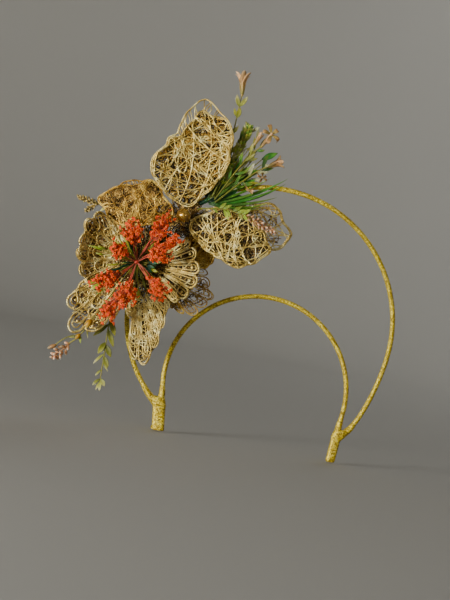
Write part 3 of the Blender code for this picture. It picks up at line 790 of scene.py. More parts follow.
# Each mesh petal: coarse threads in front, threads that wander, curls in the body, threads and curls behind,
# how far out the part behind reaches, bumps of the outline, bumps that draw the body in and leave an open
# frill, fine and coarse thread radii, and finishes.
# The last of the finishes, on the threads and curls behind, is the darkest: painted shade deep in the petal.
MeshLook = namedtuple("MeshLook", "front wander curls behind back_curls reach bumps frill fine coarse body")
MESH_LOOKS = {
    "upper": MeshLook(
        16, 52, 250, 110, 420, 0.97,
        [(128, 17, -6.0), (106, 8, -2.0), (148, 15, -6.0), (174, 14, -4.5), (206, 16, 5.0), (235, 20, 3.0),
         (20, 25, -2.5), (60, 20, -1.0)],
        [(108, 20, -11.0), (80, 12, -7.0), (140, 14, -4.0), (175, 14, -1.5)],
        0.32, 0.58, ("pale", "gold", "deep"),
    ),
    "left": MeshLook(
        6, 26, 500, 90, 460, 0.98,
        [(20, 16, 2.5), (60, 16, -1.0), (150, 25, 1.5), (335, 24, 8.0)], [(22, 20, -4.0)],
        0.36, 0.44, ("gold", "bronze", "deep"),
    ),
    "lower_right": MeshLook(
        18, 34, 10, 60, 300, 0.96,
        [(35, 22, 3.0), (140, 20, -1.0), (262, 30, 4.5), (222, 22, 5.0), (318, 24, 3.0)], [],
        0.34, 0.6, ("pale", "bronze", "deep"),
    ),
    "right": MeshLook(
        8, 26, 10, 14, 30, 0.85,
        [(66, 16, 5.0), (30, 14, -2.5), (90, 10, -1.0), (128, 16, 2.0), (160, 20, -1.0)], [],
        0.36, 0.5, ("pale", "gold", "bronze"),
    ),
    "back": MeshLook(6, 34, 60, 40, 160, 0.95, [(20, 40, 2.0)], [], 0.34, 0.5, ("gold", "bronze", "deep")),
}


def make_mesh_petal(key, seed, finishes, centre):
    node = "mesh_petal_" + key
    look = MESH_LOOKS[key]
    coarse, body, deep = (finishes[name] for name in look.body)
    rng = np.random.default_rng(seed)
    surface = Surface(node, centre)
    surface.swell(look.bumps)
    for cycles in (5, 8, 13):
        surface.reach = surface.reach + 0.4 * np.sin(cycles * surface.turns + rng.uniform(0, 6))
    inner = copy.copy(surface)
    inner.swell(look.frill)
    shape = Shape()
    chords(shape, inner, look.front, look.coarse, 0.9, 0.99, rng, 0.22)
    meander(shape, inner, look.wander, look.coarse * 0.9, 34.0, 0.7, 0.98, rng, 0.34)
    shape.ink = 1
    curls(shape, inner, look.curls, look.fine, 2.3, 0.2, 0.97, rng)
    meander(shape, inner, look.wander, look.fine, 18.0, 0.2, 0.97, rng, 0.55)
    meander(shape, inner, look.behind // 2, 0.4, 40.0, -1.7, look.reach, rng)
    # The threads and curls behind take the darkest finish, as painted shade between the layers.
    shape.ink = 2
    chords(shape, inner, look.behind, 0.46, -0.9, look.reach, rng, 0.2, 0.5)
    curls(shape, inner, look.back_curls, 0.42, 3.0, -1.0, look.reach, rng)
    shape.ink = 0
    reverse = np.random.default_rng(seed + REVERSE_SEED)
    chords(shape, inner, look.back_curls // 12, look.coarse * 0.85, -1.8, look.reach, reverse, 0.22, 0.3)
    meander(shape, inner, look.back_curls // 10, look.coarse * 0.8, 30.0, -1.75, look.reach, reverse, 0.34)
    shape.piece(node + "_weave", [coarse, body, deep], "headpiece", [node], "gold_mesh")
    rim = Shape()
    cord(rim, surface.place(surface.edge(surface.turns[::3]), 0.3), 0.85, 2.6, True, surface.normal)
    cord(rim, surface.place(inner.edge(surface.turns[::3]) * 0.96, 0.8), 0.6, 2.4, True, surface.normal)
    for degrees, wide, _ in look.frill:
        for turn in np.radians(np.arange(degrees - wide, degrees + wide, 5.0)):
            slant = turn + rng.uniform(-0.16, 0.2)
            ends = np.array([inner.edge(np.array([turn]))[0] * 0.93, surface.edge(np.array([slant]))[0]])
            flat = np.vstack([ends[0], ends.mean(0) + rng.normal(0, 0.9, 2), ends[1]])
            rim.tube(surface.place(flat, 0.4), 0.46, 5, surface.normal)
    rim.piece(node + "_wired_edge", [coarse], "headpiece", [node + "_edge_wire"], "gold_mesh")


class Fan:
    """Places on a petal by the share along its rim and the share of the way out from its root."""

    def __init__(self, surface, trim):
        turn = np.linspace(-math.pi / 2 + trim, 1.5 * math.pi - trim, 361)
        self.surface = surface
        self.rim = surface.edge(turn)
        run = np.concatenate([[0.0], np.cumsum(np.linalg.norm(np.diff(self.rim, axis=0), axis=1))])
        self.share = run / run[-1]
        self.root = surface.edge(np.array([-math.pi / 2]))[0] * 0.95

    def flat(self, share, reach):
        rim = np.stack([np.interp(share, self.share, self.rim[:, i]) for i in (0, 1)], -1)
        return self.root + (rim - self.root) * np.asarray(reach)[..., None]

    def loop(self, low, high, start, top):
        """A finger of cord: up one side, round its end and down the other."""
        ends = self.flat(np.array([low, (low + high) / 2, high]), np.full(3, top))
        size = np.linalg.norm(ends[1] - self.root)
        wide = np.linalg.norm(ends[2] - ends[0]) / 2
        shoulder = top * (1 - min(0.5, wide / max(size, 1.0)))
        climb = np.linspace(start, shoulder, 8)[:-1]
        arc = np.linspace(-math.pi / 2, math.pi / 2, 11)
        round_end = (low + high) / 2 + (high - low) / 2 * np.sin(arc)
        share = np.concatenate([np.full(7, low), round_end, np.full(7, high)])
        reach = np.concatenate([climb, shoulder + (top - shoulder) * np.cos(arc), climb[::-1]])
        return self.flat(share, reach)


def finger_fan(shape, fan, count, start, top, radius, lift, inner, studs, rng):
    """A row of looped fingers side by side, each with a smaller loop inside it, and studs."""
    surface = fan.surface
    edges = np.linspace(0.0, 1.0, count + 1)
    for low, high in zip(edges, edges[1:]):
        gap = (high - low) * 0.07
        reach = top * rng.uniform(0.97, 1.02)
        raised = lift + rng.uniform(-0.2, 0.5)
        finger = fan.loop(low + gap, high - gap, start, reach)
        cord(shape, surface.place(finger, raised), radius, 2.3, False, surface.normal)
        if inner:
            middle = (high - low) * 0.3
            flat = fan.loop(low + middle, high - middle, start + 0.12, reach * 0.94)
            shape.tube(surface.place(flat, raised - 0.2), radius * 0.6, 5, surface.normal)
        for share, big in studs:
            flat = fan.flat(np.array([(low + high) / 2]), np.array([share * top]))
            spot = surface.place(flat, raised + 0.5)[0]
            shape.ball(spot, big, surface.normal, big * 0.55)


def cross_threads(shape, fan, count, top, radius, lift, rng, limit=0.97):
    """Short threads of netting between the ribs."""
    surface = fan.surface
    for _ in range(count):
        share = rng.uniform(0.03, 0.97)
        reach = top * math.sqrt(rng.uniform(0.06, 0.95))
        start = fan.flat(np.array([share]), np.array([reach]))[0]
        angle = rng.uniform(0, math.tau)
        size = rng.uniform(3.0, 7.5)
        end = start + size * np.array([math.cos(angle), math.sin(angle)])
        t = np.linspace(0, 1, 6)[:, None]
        bend = np.array([-math.sin(angle), math.cos(angle)]) * rng.uniform(-1.8, 1.8)
        flat = surface.held(start * (1 - t) + end * t + 4 * t * (1 - t) * bend, limit)
        shape.tube(surface.place(flat, lift + rng.uniform(-0.3, 0.3)), radius, 4, surface.normal)


# Each lace petal: fingers in its rim, fingers in the tier over it and that tier's reach, cord radius, where
# the fingers start, fine threads and wandering threads in front, curls behind and how far they reach, studs,
# bumps of the outline, and finishes.
# The last of the finishes, on the curls and threads behind, is the darkest: painted shade deep in the petal.
LaceLook = namedtuple("LaceLook", "fingers tier tier_reach cord start net wander back reach studs bumps body")
LACE_LOOKS = {
    "left": LaceLook(
        11, 8, 0.68, 1.0, 0.22, 110, 54, 330, 0.88, [(0.82, 1.2)],
        [(45, 20, 6.5), (15, 14, 3.0), (90, 20, 1.0), (330, 26, 7.0)], ("lace", "lace", "bronze"),
    ),
    "right": LaceLook(
        10, 0, 0.6, 1.0, 0.22, 24, 8, 420, 0.92, [(0.84, 1.5), (0.64, 1.0)],
        [(60, 20, 1.5)], ("lace", "bronze", "deep"),
    ),
    "hanging": LaceLook(
        9, 0, 0.4, 0.66, 0.3, 150, 90, 460, 0.96, [],
        [(0, 30, -9.5), (42, 20, -6.0), (205, 24, 6.0), (165, 20, 1.0)], ("lace", "bronze", "deep"),
    ),
    "lower_left": LaceLook(
        7, 5, 0.62, 1.1, 0.2, 50, 36, 190, 0.84, [(0.86, 1.3)],
        [(30, 18, -3.0), (110, 13, 7.0), (80, 9, -2.5)], ("lace", "lace", "bronze"),
    ),
    "rear": LaceLook(12, 10, 0.86, 0.6, 0.2, 60, 16, 30, 0.85, [], [], ("gold", "bronze", "deep")),
}


def make_lace_petal(key, seed, finishes, centre):
    node = "lace_petal_" + key
    look = LACE_LOOKS[key]
    rng = np.random.default_rng(seed)
    surface = Surface(node, centre)
    surface.swell(look.bumps)
    fan = Fan(surface, 0.3)
    shape = Shape()
    finger_fan(shape, fan, look.fingers, look.start, 1.04, look.cord, 0.5, True, look.studs, rng)
    if look.tier:
        start, radius = look.start * 0.6, look.cord * 0.75
        finger_fan(shape, fan, look.tier, start, look.tier_reach, radius, 1.7, False, [], rng)
    meander(shape, surface, look.wander, look.cord * 0.6, 22.0, 0.8, 0.96, rng, 0.5)
    shape.ink = 1
    cross_threads(shape, fan, look.net, 0.97, 0.36, 0.1, rng)
    meander(shape, surface, look.back // 8, 0.4, 36.0, -1.9, look.reach, rng)
    # The curls and threads behind take the darkest finish, as painted shade between the layers.
    shape.ink = 2
    curls(shape, surface, look.back, 0.44, 3.0, -1.0, look.reach, rng)
    chords(shape, surface, look.back // 6, 0.44, -1.1, look.reach, rng, 0.2, 0.4)
    shape.ink = 0
    reverse = np.random.default_rng(seed + REVERSE_SEED)
    finger_fan(shape, fan, look.fingers, look.start, 1.02, look.cord * 0.85, -1.45, True, [], reverse)
    shape.piece(node + "_lace", [finishes[name] for name in look.body], "headpiece", [node], "gold_lace")


def make_tangle(name, centre, deep, far, count, finishes, slot):
    """Dark threads gathered behind a flower's middle, as painted shade there: strands that run outward, and
    loose curls.
    """
    rng = np.random.default_rng(count)
    shape = Shape()
    for i in range(count):
        turn = rng.uniform(0, math.tau)
        out = spoke(turn)
        side = rim_way(turn)
        start = centre + out * rng.uniform(0.1, 0.4) * far + FRONT * rng.uniform(0, deep)
        end = centre + out * rng.uniform(0.6, 1.0) * far + FRONT * rng.uniform(0, deep)
        shape.ink = i % 2
        shape.tube(bow(start, end, side * rng.uniform(-2.5, 2.5), 8), 0.38, 4)
        spot = centre + out * 0.88 * far * math.sqrt(rng.uniform(0, 1)) + FRONT * rng.uniform(0, deep)
        size = rng.uniform(1.6, 3.4)
        t = np.linspace(0, math.tau * rng.uniform(0.5, 0.9), 8) + rng.uniform(0, math.tau)
        curl = spot + size * (np.outer(np.cos(t), out) + np.outer(np.sin(t), side) * rng.uniform(0.5, 1.0))
        shape.ink = 1 if i % 3 else 0
        shape.tube(curl, 0.38, 4, FRONT)
    shape.piece(name, [finishes["bronze"], finishes["deep"]], "headpiece", (), slot)


def make_flowers(finishes):
    mesh_centre = cad_centre("mesh_flower_base")
    lace_centre = cad_centre("lace_flower_base")
    for i, key in enumerate(MESH_LOOKS):
        make_mesh_petal(key, MESH_SEED + i, finishes, mesh_centre)
    for i, key in enumerate(LACE_LOOKS):
        make_lace_petal(key, LACE_SEED + i, finishes, lace_centre)
    behind_mesh = mesh_centre + FRONT * 1.5
    behind_lace = lace_centre + np.array([5.0, -3.0, 8.0])
    # Bronze and deep tangles behind both flowers' middles: painted shade.
    make_tangle("mesh_flower_shade_tangle", behind_mesh, 4.0, 19.0, 210, finishes, "gold_mesh")
    make_tangle("lace_flower_shade_tangle", behind_lace, 5.0, 30.0, 440, finishes, "gold_lace")


def make_bases(finishes):
    """Felt discs behind the flowers, and the thread that lashes each to the outer hoop."""
    halo = smooth_line(hoop_line("halo_wrap"), 0.5)
    for flower in ("mesh_flower", "lace_flower"):
        low, high = box_of(flower + "_base")
        middle = (low + high) / 2
        radius = (high[0] - low[0]) / 2
        deep = high[1] - low[1]
        disc = Shape()
        rings = []
        turn = np.linspace(0, math.tau, DISC_SIDES, endpoint=False)
        ragged = 1 + 0.02 * np.sin(7 * turn) + 0.015 * np.sin(17 * turn + 1)
        for y, share in ((0.5, 0.3), (0.5, 0.9), (0.3, 0.99), (-0.3, 0.99), (-0.5, 0.9), (-0.5, 0.3)):
            x = middle[0] + radius * share * ragged * np.cos(turn)
            z = middle[2] + radius * share * ragged * np.sin(turn)
            rings.append(np.stack([x, np.full(DISC_SIDES, middle[1] + y * deep), z], -1))
        disc.loft(rings)
        disc.piece(flower + "_felt_disc", [finishes["felt"]], "headpiece", [flower + "_base"], "felt")
        low, high = box_of(flower + "_lashing")
        spot = (low + high) / 2
        nearest = int(np.argmin(np.linalg.norm(halo - spot, axis=1)))
        stretch = halo[nearest - 6:nearest + 7]
        heading = unit(stretch[-1] - stretch[0])
        aside = unit(np.cross(FRONT, heading))
        turns = np.linspace(0, LASHING_TURNS * math.tau, LASHING_POINTS)
        shift = np.linspace(-LASHING_REACH, LASHING_REACH, LASHING_POINTS)
        coil = spot + np.outer(shift, heading)
        coil = coil + LASHING_RADIUS * (np.outer(np.cos(turns), aside) + np.outer(np.sin(turns), FRONT))
        thread = Shape()
        thread.tube(coil, 0.42, 6, heading)
        gold = [finishes["gold"]]
        thread.piece(flower + "_lashed_thread", gold, "headpiece", [flower + "_lashing"], "gold_mesh")


def lathe(centre, axis, profile, sides):
    """The rings of a turned skin, from (radius, distance along the axis) points."""
    axis = unit(axis)
    ref = np.eye(3)[np.argmin(np.abs(axis))]
    aside = unit(np.cross(ref, axis))
    above = np.cross(axis, aside)
    turn = np.linspace(0, math.tau, sides, endpoint=False)
    circle = np.cos(turn)[:, None] * aside + np.sin(turn)[:, None] * above
    return [np.asarray(centre) + axis * far + circle * radius for radius, far in profile]


def make_bead(finishes):
    low, high = box_of("gold_bead")
    centre = (low + high) / 2
    radius = (high[0] - low[0]) / 2 * 0.93
    hole = 1.0
    reach = math.acos(hole / radius)
    angles = np.linspace(-reach, reach, 26)
    outer = [(radius * math.cos(a), radius * math.sin(a)) for a in angles]
    inner = [(hole, radius * math.sin(reach) * s) for s in (0.9, 0.0, -0.9)]
    shape = Shape()
    shape.loft(lathe(centre, FRONT, outer + inner, 48), True)
    shape.piece("pearl_bead", [finishes["pearl"]], "bead", ["gold_bead"], "gold_bead")
    low, high = box_of("bead_pin")
    back = np.array([centre[0], high[1], centre[2]])
    tall = high[1] - low[1]
    profile = [(2.3, 0.0), (2.4, 0.4), (2.2, 0.8), (0.75, 1.0), (0.75, tall - 1.2), (1.5, tall - 1.0)]
    profile += [(1.7, tall - 0.6), (1.3, tall - 0.2), (0.5, tall)]
    pin = Shape()
    pin.loft(lathe(back, FRONT, profile, 20))
    pin.piece("bead_pin_and_seed", [finishes["gold"]], "headpiece", ["bead_pin"], "gold_mesh")


# ---------------------------------------------------------------- blossoms, leaves and lilies

def about(axis, rng, low, high):
    """A random direction between two angles (radians) from an axis."""
    axis = unit(axis)
    aside, above = sides_of(axis)
    lean = rng.uniform(low, high)
    turn = rng.uniform(0, math.tau)
    return axis * math.cos(lean) + math.sin(lean) * (aside * math.cos(turn) + above * math.sin(turn))


def floret(shape, place, axis, size, rng, petals=5):
    """A tiny star of pointed petals."""
    axis = unit(axis)
    aside, above = sides_of(axis)
    spin = rng.uniform(0, math.tau)
    for i in range(petals):
        turn = spin + math.tau * i / petals
        out = aside * math.cos(turn) + above * math.sin(turn)
        reach = size * rng.uniform(0.8, 1.15)
        middle = place + out * reach * 0.5 + axis * 0.35 * reach
        line = np.array([place, middle, place + out * reach + axis * 0.15 * reach])
        shape.blade(line, np.array([0.3, 0.45, 0.1]) * size, axis, 0.2 * size, 0.0, 6)


def spray_hub_place():
    low, high = box_of("spray_hub")
    return np.array([(low[0] + high[0]) / 2, low[1] + 3.4, (low[2] + high[2]) / 2]), high[1]


def head_ball(node, hub):
    """The ball on a blossom head's stalk: its middle, its radius and the way out to it from the hub."""
    points = cad_points(node)
    tip = points[np.argmax(np.linalg.norm(points - hub, axis=1))]
    axis = unit(tip - hub)
    radius = np.linalg.norm(np.cross(points - hub, axis), axis=1).max()
    return tip - axis * radius, radius, axis


def make_blossom_head(node, hub, finishes, rng):
    """Stalks that fork from the hub and carry tiny star blossoms, thickest at the head."""
    centre, radius, axis = head_ball(node, hub)
    away = centre - hub
    shape = Shape()
    forks = []
    for _ in range(4):
        fork = hub + away * rng.uniform(0.5, 0.75) + rng.normal(0, 0.22, 3) * radius
        shape.ink = 1
        shape.tube(bow(hub + axis * 1.5, fork, rng.normal(0, 0.7, 3), 7), np.linspace(0.42, 0.34, 7), 5)
        forks.append(fork)
    for _ in range(int(11.0 * radius)):
        share = rng.uniform(0.0, 1.0) ** 0.6
        spread = radius * (0.6 + 0.85 * share)
        offset = rng.normal(0, 1.0, 3)
        offset = offset / np.linalg.norm(offset) * spread * rng.uniform(0.35, 1.0)
        spot = hub + away * (0.62 + 0.46 * share) + offset * np.array([1.0, 0.55, 1.0])
        fork = forks[int(rng.integers(0, 4))]
        shape.ink = 1
        shape.tube(bow(fork, spot, rng.normal(0, 0.5, 3), 5), 0.24, 4)
        face = unit(unit(offset) * 0.6 + FRONT * 0.9 + axis * 0.4)
        shape.ink = 0
        floret(shape, spot, about(face, rng, 0.0, 0.8), rng.uniform(1.2, 2.0), rng)
        bud = spot + about(face, rng, 0.5, 1.4) * rng.uniform(1.2, 2.2)
        shape.tube(np.array([spot, (spot + bud) / 2, bud]), 0.2, 4)
        shape.ball(bud, 0.65, face, 0.9, 4, 6)
    tones = [finishes["blossom"], finishes["blossom_stem"]]
    shape.piece(node + "_cluster", tones, "headpiece", [node], "red_blossom")


# Greenery between the blossoms: angle in degrees, distance from the hub, length, half width, how far it
# stands forward, and finish number.
SPRAY_GREENS = [
    (-8, 9, 8, 1.5, 9, 0), (4, 10, 9, 1.6, 10, 0), (18, 9, 8, 1.4, 9, 0), (-24, 9, 8, 1.5, 8, 0),
    (-40, 9, 7, 1.3, 8, 1), (-14, 14, 7, 1.4, 11, 1), (10, 15, 7, 1.3, 11, 1),
    (172, 30, 14, 1.1, 12, 2), (168, 27, 9, 0.9, 13, 2), (178, 28, 8, 0.8, 12, 2),
    (146, 8, 20, 1.2, 7, 1), (138, 10, 17, 1.0, 8, 1), (128, 8, 18, 0.9, 6, 1), (210, 9, 28, 1.0, 7, 0),
    (214, 14, 24, 0.9, 8, 0), (222, 36, 10, 1.6, 13, 2), (216, 38, 9, 1.3, 13, 2),
    (230, 37, 8, 1.3, 12, 2), (-84, 20, 14, 1.6, 9, 1), (-76, 22, 12, 1.5, 9, 1),
    (-92, 18, 12, 1.3, 8, 2), (60, 12, 14, 1.1, 7, 1), (48, 14, 14, 1.0, 7, 0), (70, 10, 12, 1.0, 6, 0),
    (98, 10, 12, 1.0, 6, 0), (-60, 14, 14, 1.1, 7, 1), (196, 14, 14, 0.9, 6, 1),
    (34, 16, 12, 1.2, 8, 0),
]

# The amber bud at the lace edge: angle in degrees, distance from the hub and how far it stands forward.
AMBER_BUD = (243, 67, 13)


def make_spray(finishes):
    """Coral blossom heads on branching stalks, with leaves and needles between them."""
    hub, back = spray_hub_place()
    rng = np.random.default_rng(41)
    for node in sorted(frame["nodes"]):
        if node.startswith("blossom_head_"):
            make_blossom_head(node, hub, finishes, rng)
    stalk = Shape()
    base = np.array([hub[0], back, hub[2]])
    line = np.array([base, base + FRONT * 5, hub + FRONT * -2.0, hub])
    stalk.tube(line, np.array([1.4, 1.1, 1.1, 1.8]), 10)
    stalk.ball(hub, 2.4, FRONT, 2.2, 8, 12)
    stalk.piece("spray_hub_stalk", [finishes["blossom_stem"]], "headpiece", ["spray_hub"], "green_stem")
    greens = Shape()
    depth = cad_centre("spray_leaves")[1]
    middle = np.array([hub[0], depth, hub[2]])
    for degrees, near, length, wide, ahead, ink in SPRAY_GREENS:
        turn = math.radians(degrees)
        out = spoke(turn)
        start = middle + out * near + FRONT * ahead * near / (near + length)
        end = middle + out * (near + length) + FRONT * ahead
        greens.ink = 3
        greens.tube(bow(middle + out * 2.0, start, FRONT * 0.5, 5), 0.35, 5)
        greens.ink = ink
        leaf(greens, start, end, wide, FRONT * 0.8 + rng.normal(0, 0.4, 3), FRONT, 0.3)
    for i in range(26):
        turn = math.tau * i / 26 + rng.uniform(-0.1, 0.1)
        out = spoke(turn)
        end = middle + out * rng.uniform(12, 22) + FRONT * rng.uniform(2, 7)
        greens.ink = int(rng.integers(0, 2))
        wide, bend = rng.uniform(0.5, 0.9), rng.normal(0, 0.8, 3)
        leaf(greens, middle + out * 2.5, end, wide, bend, FRONT, 0.2, 0.5, 7)
    amber = polar(middle, *AMBER_BUD)
    greens.ink = 3
    greens.tube(bow(middle + FRONT * 2.0, amber, FRONT * 3.0, 9), 0.45, 5)
    greens.ink = 4
    greens.ball(amber, 3.0, amber - middle, 4.2, 8, 10)
    tones = [finishes[name] for name in ("dark_leaf", "olive", "lime_leaf", "stem", "amber_bud")]
    greens.piece("spray_greenery", tones, "headpiece", ["spray_leaves"], "green_leaf")


def leaf_width(count, wide, peak=0.45):
    """Half widths along a leaf: narrow at its root, widest at peak and pointed at its tip."""
    t = np.linspace(0, 1, count)
    rise = np.clip(t / peak, 0, 1)
    fall = np.clip((1 - t) / (1 - peak), 0, 1)
    return wide * (0.18 + 0.82 * np.sin(rise * math.pi / 2)) * np.maximum(np.sin(fall * math.pi / 2), 0.04)


def leaf(shape, start, end, wide, bend, up=FRONT, cup=0.25, peak=0.45, count=9):
    line = bow(start, end, bend, count)
    shape.blade(line, leaf_width(count, wide, peak), up, 0.22, cup)


# Each blade of a bunch: angle in degrees, length, half width, depth, bend and finish number.
BUNCH = [
    (-6, 24, 3.0, -0.8, 1.0, 0), (6, 30, 3.0, 0.5, -1.0, 0), (18, 34, 3.2, -1.2, 2.0, 0),
    (31, 30, 3.4, 0.6, -1.5, 0), (45, 34, 3.4, -0.4, 1.5, 0), (60, 28, 3.0, 1.0, -1.0, 0),
    (76, 26, 2.6, 0.0, 1.0, 0), (95, 20, 2.6, -1.0, 0.0, 0), (40, 50, 2.4, -1.6, 2.5, 3),
    (50, 54, 2.0, 1.2, -2.0, 3), (30, 44, 2.0, -0.2, 3.0, 3), (54, 62, 1.2, -1.4, 2.0, 2),
    (60, 66, 1.1, 0.8, -2.5, 2), (67, 58, 1.4, -0.6, 2.0, 3), (71, 68, 1.2, 1.4, -1.0, 2),
    (78, 64, 1.3, -1.2, 1.5, 3), (82, 56, 1.2, 0.4, -1.0, 2), (48, 54, 1.0, 0.2, 2.0, 3),
    (63, 50, 1.3, -1.8, -1.5, 2), (75, 48, 1.4, 1.8, 1.0, 3), (42, 62, 1.0, 1.5, -2.0, 3),
    (66, 44, 1.2, 0.9, 2.0, 2), (57, 46, 1.4, -0.9, -1.5, 3), (52, 40, 1.4, 1.6, 1.5, 2),
    (36, 40, 1.4, -1.4, -1.5, 2), (73, 38, 1.6, -0.4, 2.5, 3), (84, 44, 1.3, 1.2, -1.5, 3),
    (46, 46, 1.2, 2.0, 1.0, 2),
]
BLADES = [
    (12, 56, 1.1, 0.6, -4.0, 0), (16, 61, 1.3, 0.0, -3.0, 0), (25, 71, 1.5, -0.6, -5.0, 1),
    (28, 74, 1.4, 0.2, -4.0, 1), (21, 54, 1.3, 0.8, -3.0, 1), (33, 60, 1.1, -0.9, -2.0, 0),
    (7, 50, 0.9, 0.3, -3.0, 0), (27, 58, 1.2, 1.1, -3.0, 0),
]
# Leaves on long twigs: angle and distance of the leaf's foot from the root, the way it points, its length,
# half width, depth and finish number.
TWIGS = [
    (48, 61, 32, 15, 2.8, -1.5, 1), (44.5, 58, -4, 10, 1.6, -2.0, 4), (68, 72, 40, 10, 1.4, -1.0, 4),
    (64, 58, -5, 8, 1.3, -2.0, 4), (46, 32, 36, 22, 3.2, -1.8, 1), (52, 50, 75, 12, 1.4, -1.0, 2),
    (58, 62, 100, 11, 1.3, -1.0, 2), (56, 66, 62, 12, 1.5, 1.0, 3), (40, 56, 20, 10, 1.5, -1.0, 3),
    (62, 70, 88, 10, 1.2, 0.5, 4), (74, 50, 105, 10, 1.4, -1.0, 3), (38, 44, 0, 12, 1.4, -1.5, 4),
]


def polar(root, degrees, length, depth):
    turn = math.radians(degrees)
    return root + length * spoke(turn) + FRONT * depth


def blade_fan(shape, root, plan, rng):
    for degrees, length, wide, deep, bend, ink in plan:
        turn = math.radians(degrees)
        side = rim_way(turn)
        start = polar(root, degrees, 1.5, deep * 0.4)
        tilt = unit(FRONT + side * rng.uniform(-0.5, 0.5))
        shape.ink = ink
        leaf(shape, start, polar(root, degrees, length, deep), wide, side * bend, tilt, 0.3)


def make_bunch(finishes):
    rng = np.random.default_rng(7)
    tape = stem_line("stem_tape", joint_place("bead"))
    bound = Shape()
    bound_line = np.vstack([tape[0], tape[-1] + unit(tape[-1] - tape[-2]) * 2.0])
    wound(bound, bound_line, 2.1, 2.6, 0.3, 12)
    bound.piece("stem_tape_winding", [finishes["dark_leaf"]], "headpiece", ["stem_tape"], "green_leaf")
    root = np.array([tape[-1][0] - 1.5, cad_centre("leaf_bunch")[1], tape[-1][2] - 2.3])
    bunch = Shape()
    blade_fan(bunch, root, BUNCH, rng)
    for degrees, far, way, length, wide, deep, ink in TWIGS:
        foot = polar(root, degrees, far, deep)
        bunch.ink = 2
        bunch.tube(bow(polar(root, degrees, 2.0, deep * 0.3), foot, rng.normal(0, 0.8, 3), 8), 0.42, 5)
        bunch.ink = ink
        leaf(bunch, foot, polar(foot, way, length, 0.8), wide, FRONT * 0.8, FRONT, 0.35)
    for _ in range(44):
        way = rng.uniform(36, 84)
        foot = polar(root, way + rng.uniform(-6, 6), rng.uniform(8, 40), rng.uniform(-2.0, 0.6))
        end = polar(foot, way + rng.uniform(-30, 30), rng.uniform(8, 16), rng.uniform(-0.5, 0.8))
        bunch.ink = (0, 1, 2, 3, 2, 3, 4)[int(rng.integers(0, 7))]
        leaf(bunch, foot, end, rng.uniform(1.0, 2.1), FRONT * 0.8, FRONT, 0.35)
    names = ("dark_leaf", "bright_leaf", "olive", "leaf", "cream_leaf")
    greens = [finishes[name] for name in names]
    bunch.piece("leaf_bunch_leaves", greens, "headpiece", ["leaf_bunch"], "green_leaf")
    grass = Shape()
    tuft = np.array([root[0] + 1.0, cad_centre("grass_blades")[1], root[2] - 2.0])
    blade_fan(grass, tuft, BLADES, rng)
    blades = [finishes["leaf"], finishes["bright_leaf"]]
    grass.piece("grass_blade_leaves", blades, "headpiece", ["grass_blades"], "green_leaf")


def brush(shape, line, length, wide, rng, inks, spacing=1.5, lean=0.55, every=4, bare=0.2):
    """Needles set all round a rib, pointing forward along it."""
    run = lengths(line)
    for i, far in enumerate(np.arange(run[-1] * bare, run[-1] - 0.5, spacing)):
        share = far / run[-1]
        place, heading = at_length(line, share)
        for j in range(every):
            turn = i * 2.4 + j * math.tau / every
            aside = unit(np.cross(heading, FRONT))
            out = aside * math.cos(turn) + FRONT * math.sin(turn) * 0.45
            taper = math.sin(math.pi * min(1.0, (1 - share) * 1.6 + 0.15))
            reach = length * (0.55 + 0.45 * taper) * rng.uniform(0.75, 1.15)
            end = place + (out * math.sin(lean) + heading * math.cos(lean)) * reach
            shape.ink = inks[int(rng.integers(0, len(inks)))]
            leaf(shape, place, end, wide, heading * 0.4, unit(FRONT + out * 0.3), 0.2, 0.5, 5)


def make_fern(finishes):
    points = cad_points("fern_frond")
    low, high = points[np.argmin(points[:, 2])], points[np.argmax(points[:, 2])]
    low[1] = high[1] = points[:, 1].mean()
    rng = np.random.default_rng(13)
    shape = Shape()
    line = smooth_line([low, (low + high) / 2 + np.array([1.2, 0, -0.6]), high + np.array([0, 0, -6.0])], 2.0)
    shape.tube(line, np.linspace(0.8, 0.35, len(line)), 6)
    brush(shape, line, 9.5, 1.25, rng, (0, 1, 2, 3, 3))
    side = np.array([-14.5, 1.0, -12.0])
    line = smooth_line([low, (low + high + side) / 2 + np.array([-1.0, 0, 0]), high + side], 2.0)
    shape.ink = 0
    shape.tube(line, np.linspace(0.7, 0.3, len(line)), 6)
    brush(shape, line, 8.0, 1.0, rng, (0, 2, 2, 3), 1.8, 0.5, 3, 0.35)
    greens = [finishes["olive"], finishes["leaf"], finishes["pale_leaf"], finishes["lime_leaf"]]
    shape.piece("fern_needles", greens, "headpiece", ["fern_frond"], "green_leaf")


def lily(shape, base, tip, mouth, rng, petals, curl, wide):
    """A trumpet of narrow petals that open and curl at their tips."""
    axis = unit(tip - base)
    length = np.linalg.norm(tip - base)
    aside = unit(np.cross(axis, FRONT))
    above = np.cross(aside, axis)
    t = np.linspace(0, 1, 10)
    for i in range(petals):
        turn = math.tau * i / petals + 0.5 + rng.uniform(-0.15, 0.15)
        out = aside * math.cos(turn) + above * math.sin(turn)
        reach = mouth * rng.uniform(0.85, 1.1)
        radius = 0.9 + (reach - 0.9) * t**2.2
        rise = length * rng.uniform(0.88, 1.0) * (t - curl * 0.35 * t**4)
        line = base + np.outer(rise, axis) + np.outer(radius, out)
        width = mouth * 0.26 * wide * (0.35 + 0.9 * np.sin(math.pi * np.clip(t * 0.92 + 0.05, 0, 1)) ** 0.8)
        width[-1] = 0.15
        shape.blade(line, width, -out, 0.28, 0.3, 8)
    shape.tube(np.array([base - axis * 1.5, base, base + axis * length * 0.25]), np.array([0.7, 1.1, 1.5]), 8)


def flower_ends(body, stem):
    """Where a flower starts, at its stem's end, and the middle of its mouth."""
    points = cad_points(body + "_flower")
    base = stem[-1]
    far = np.linalg.norm(points - base, axis=1)
    rim = points[far > far.max() - 2.0]
    return base, rim.mean(0)


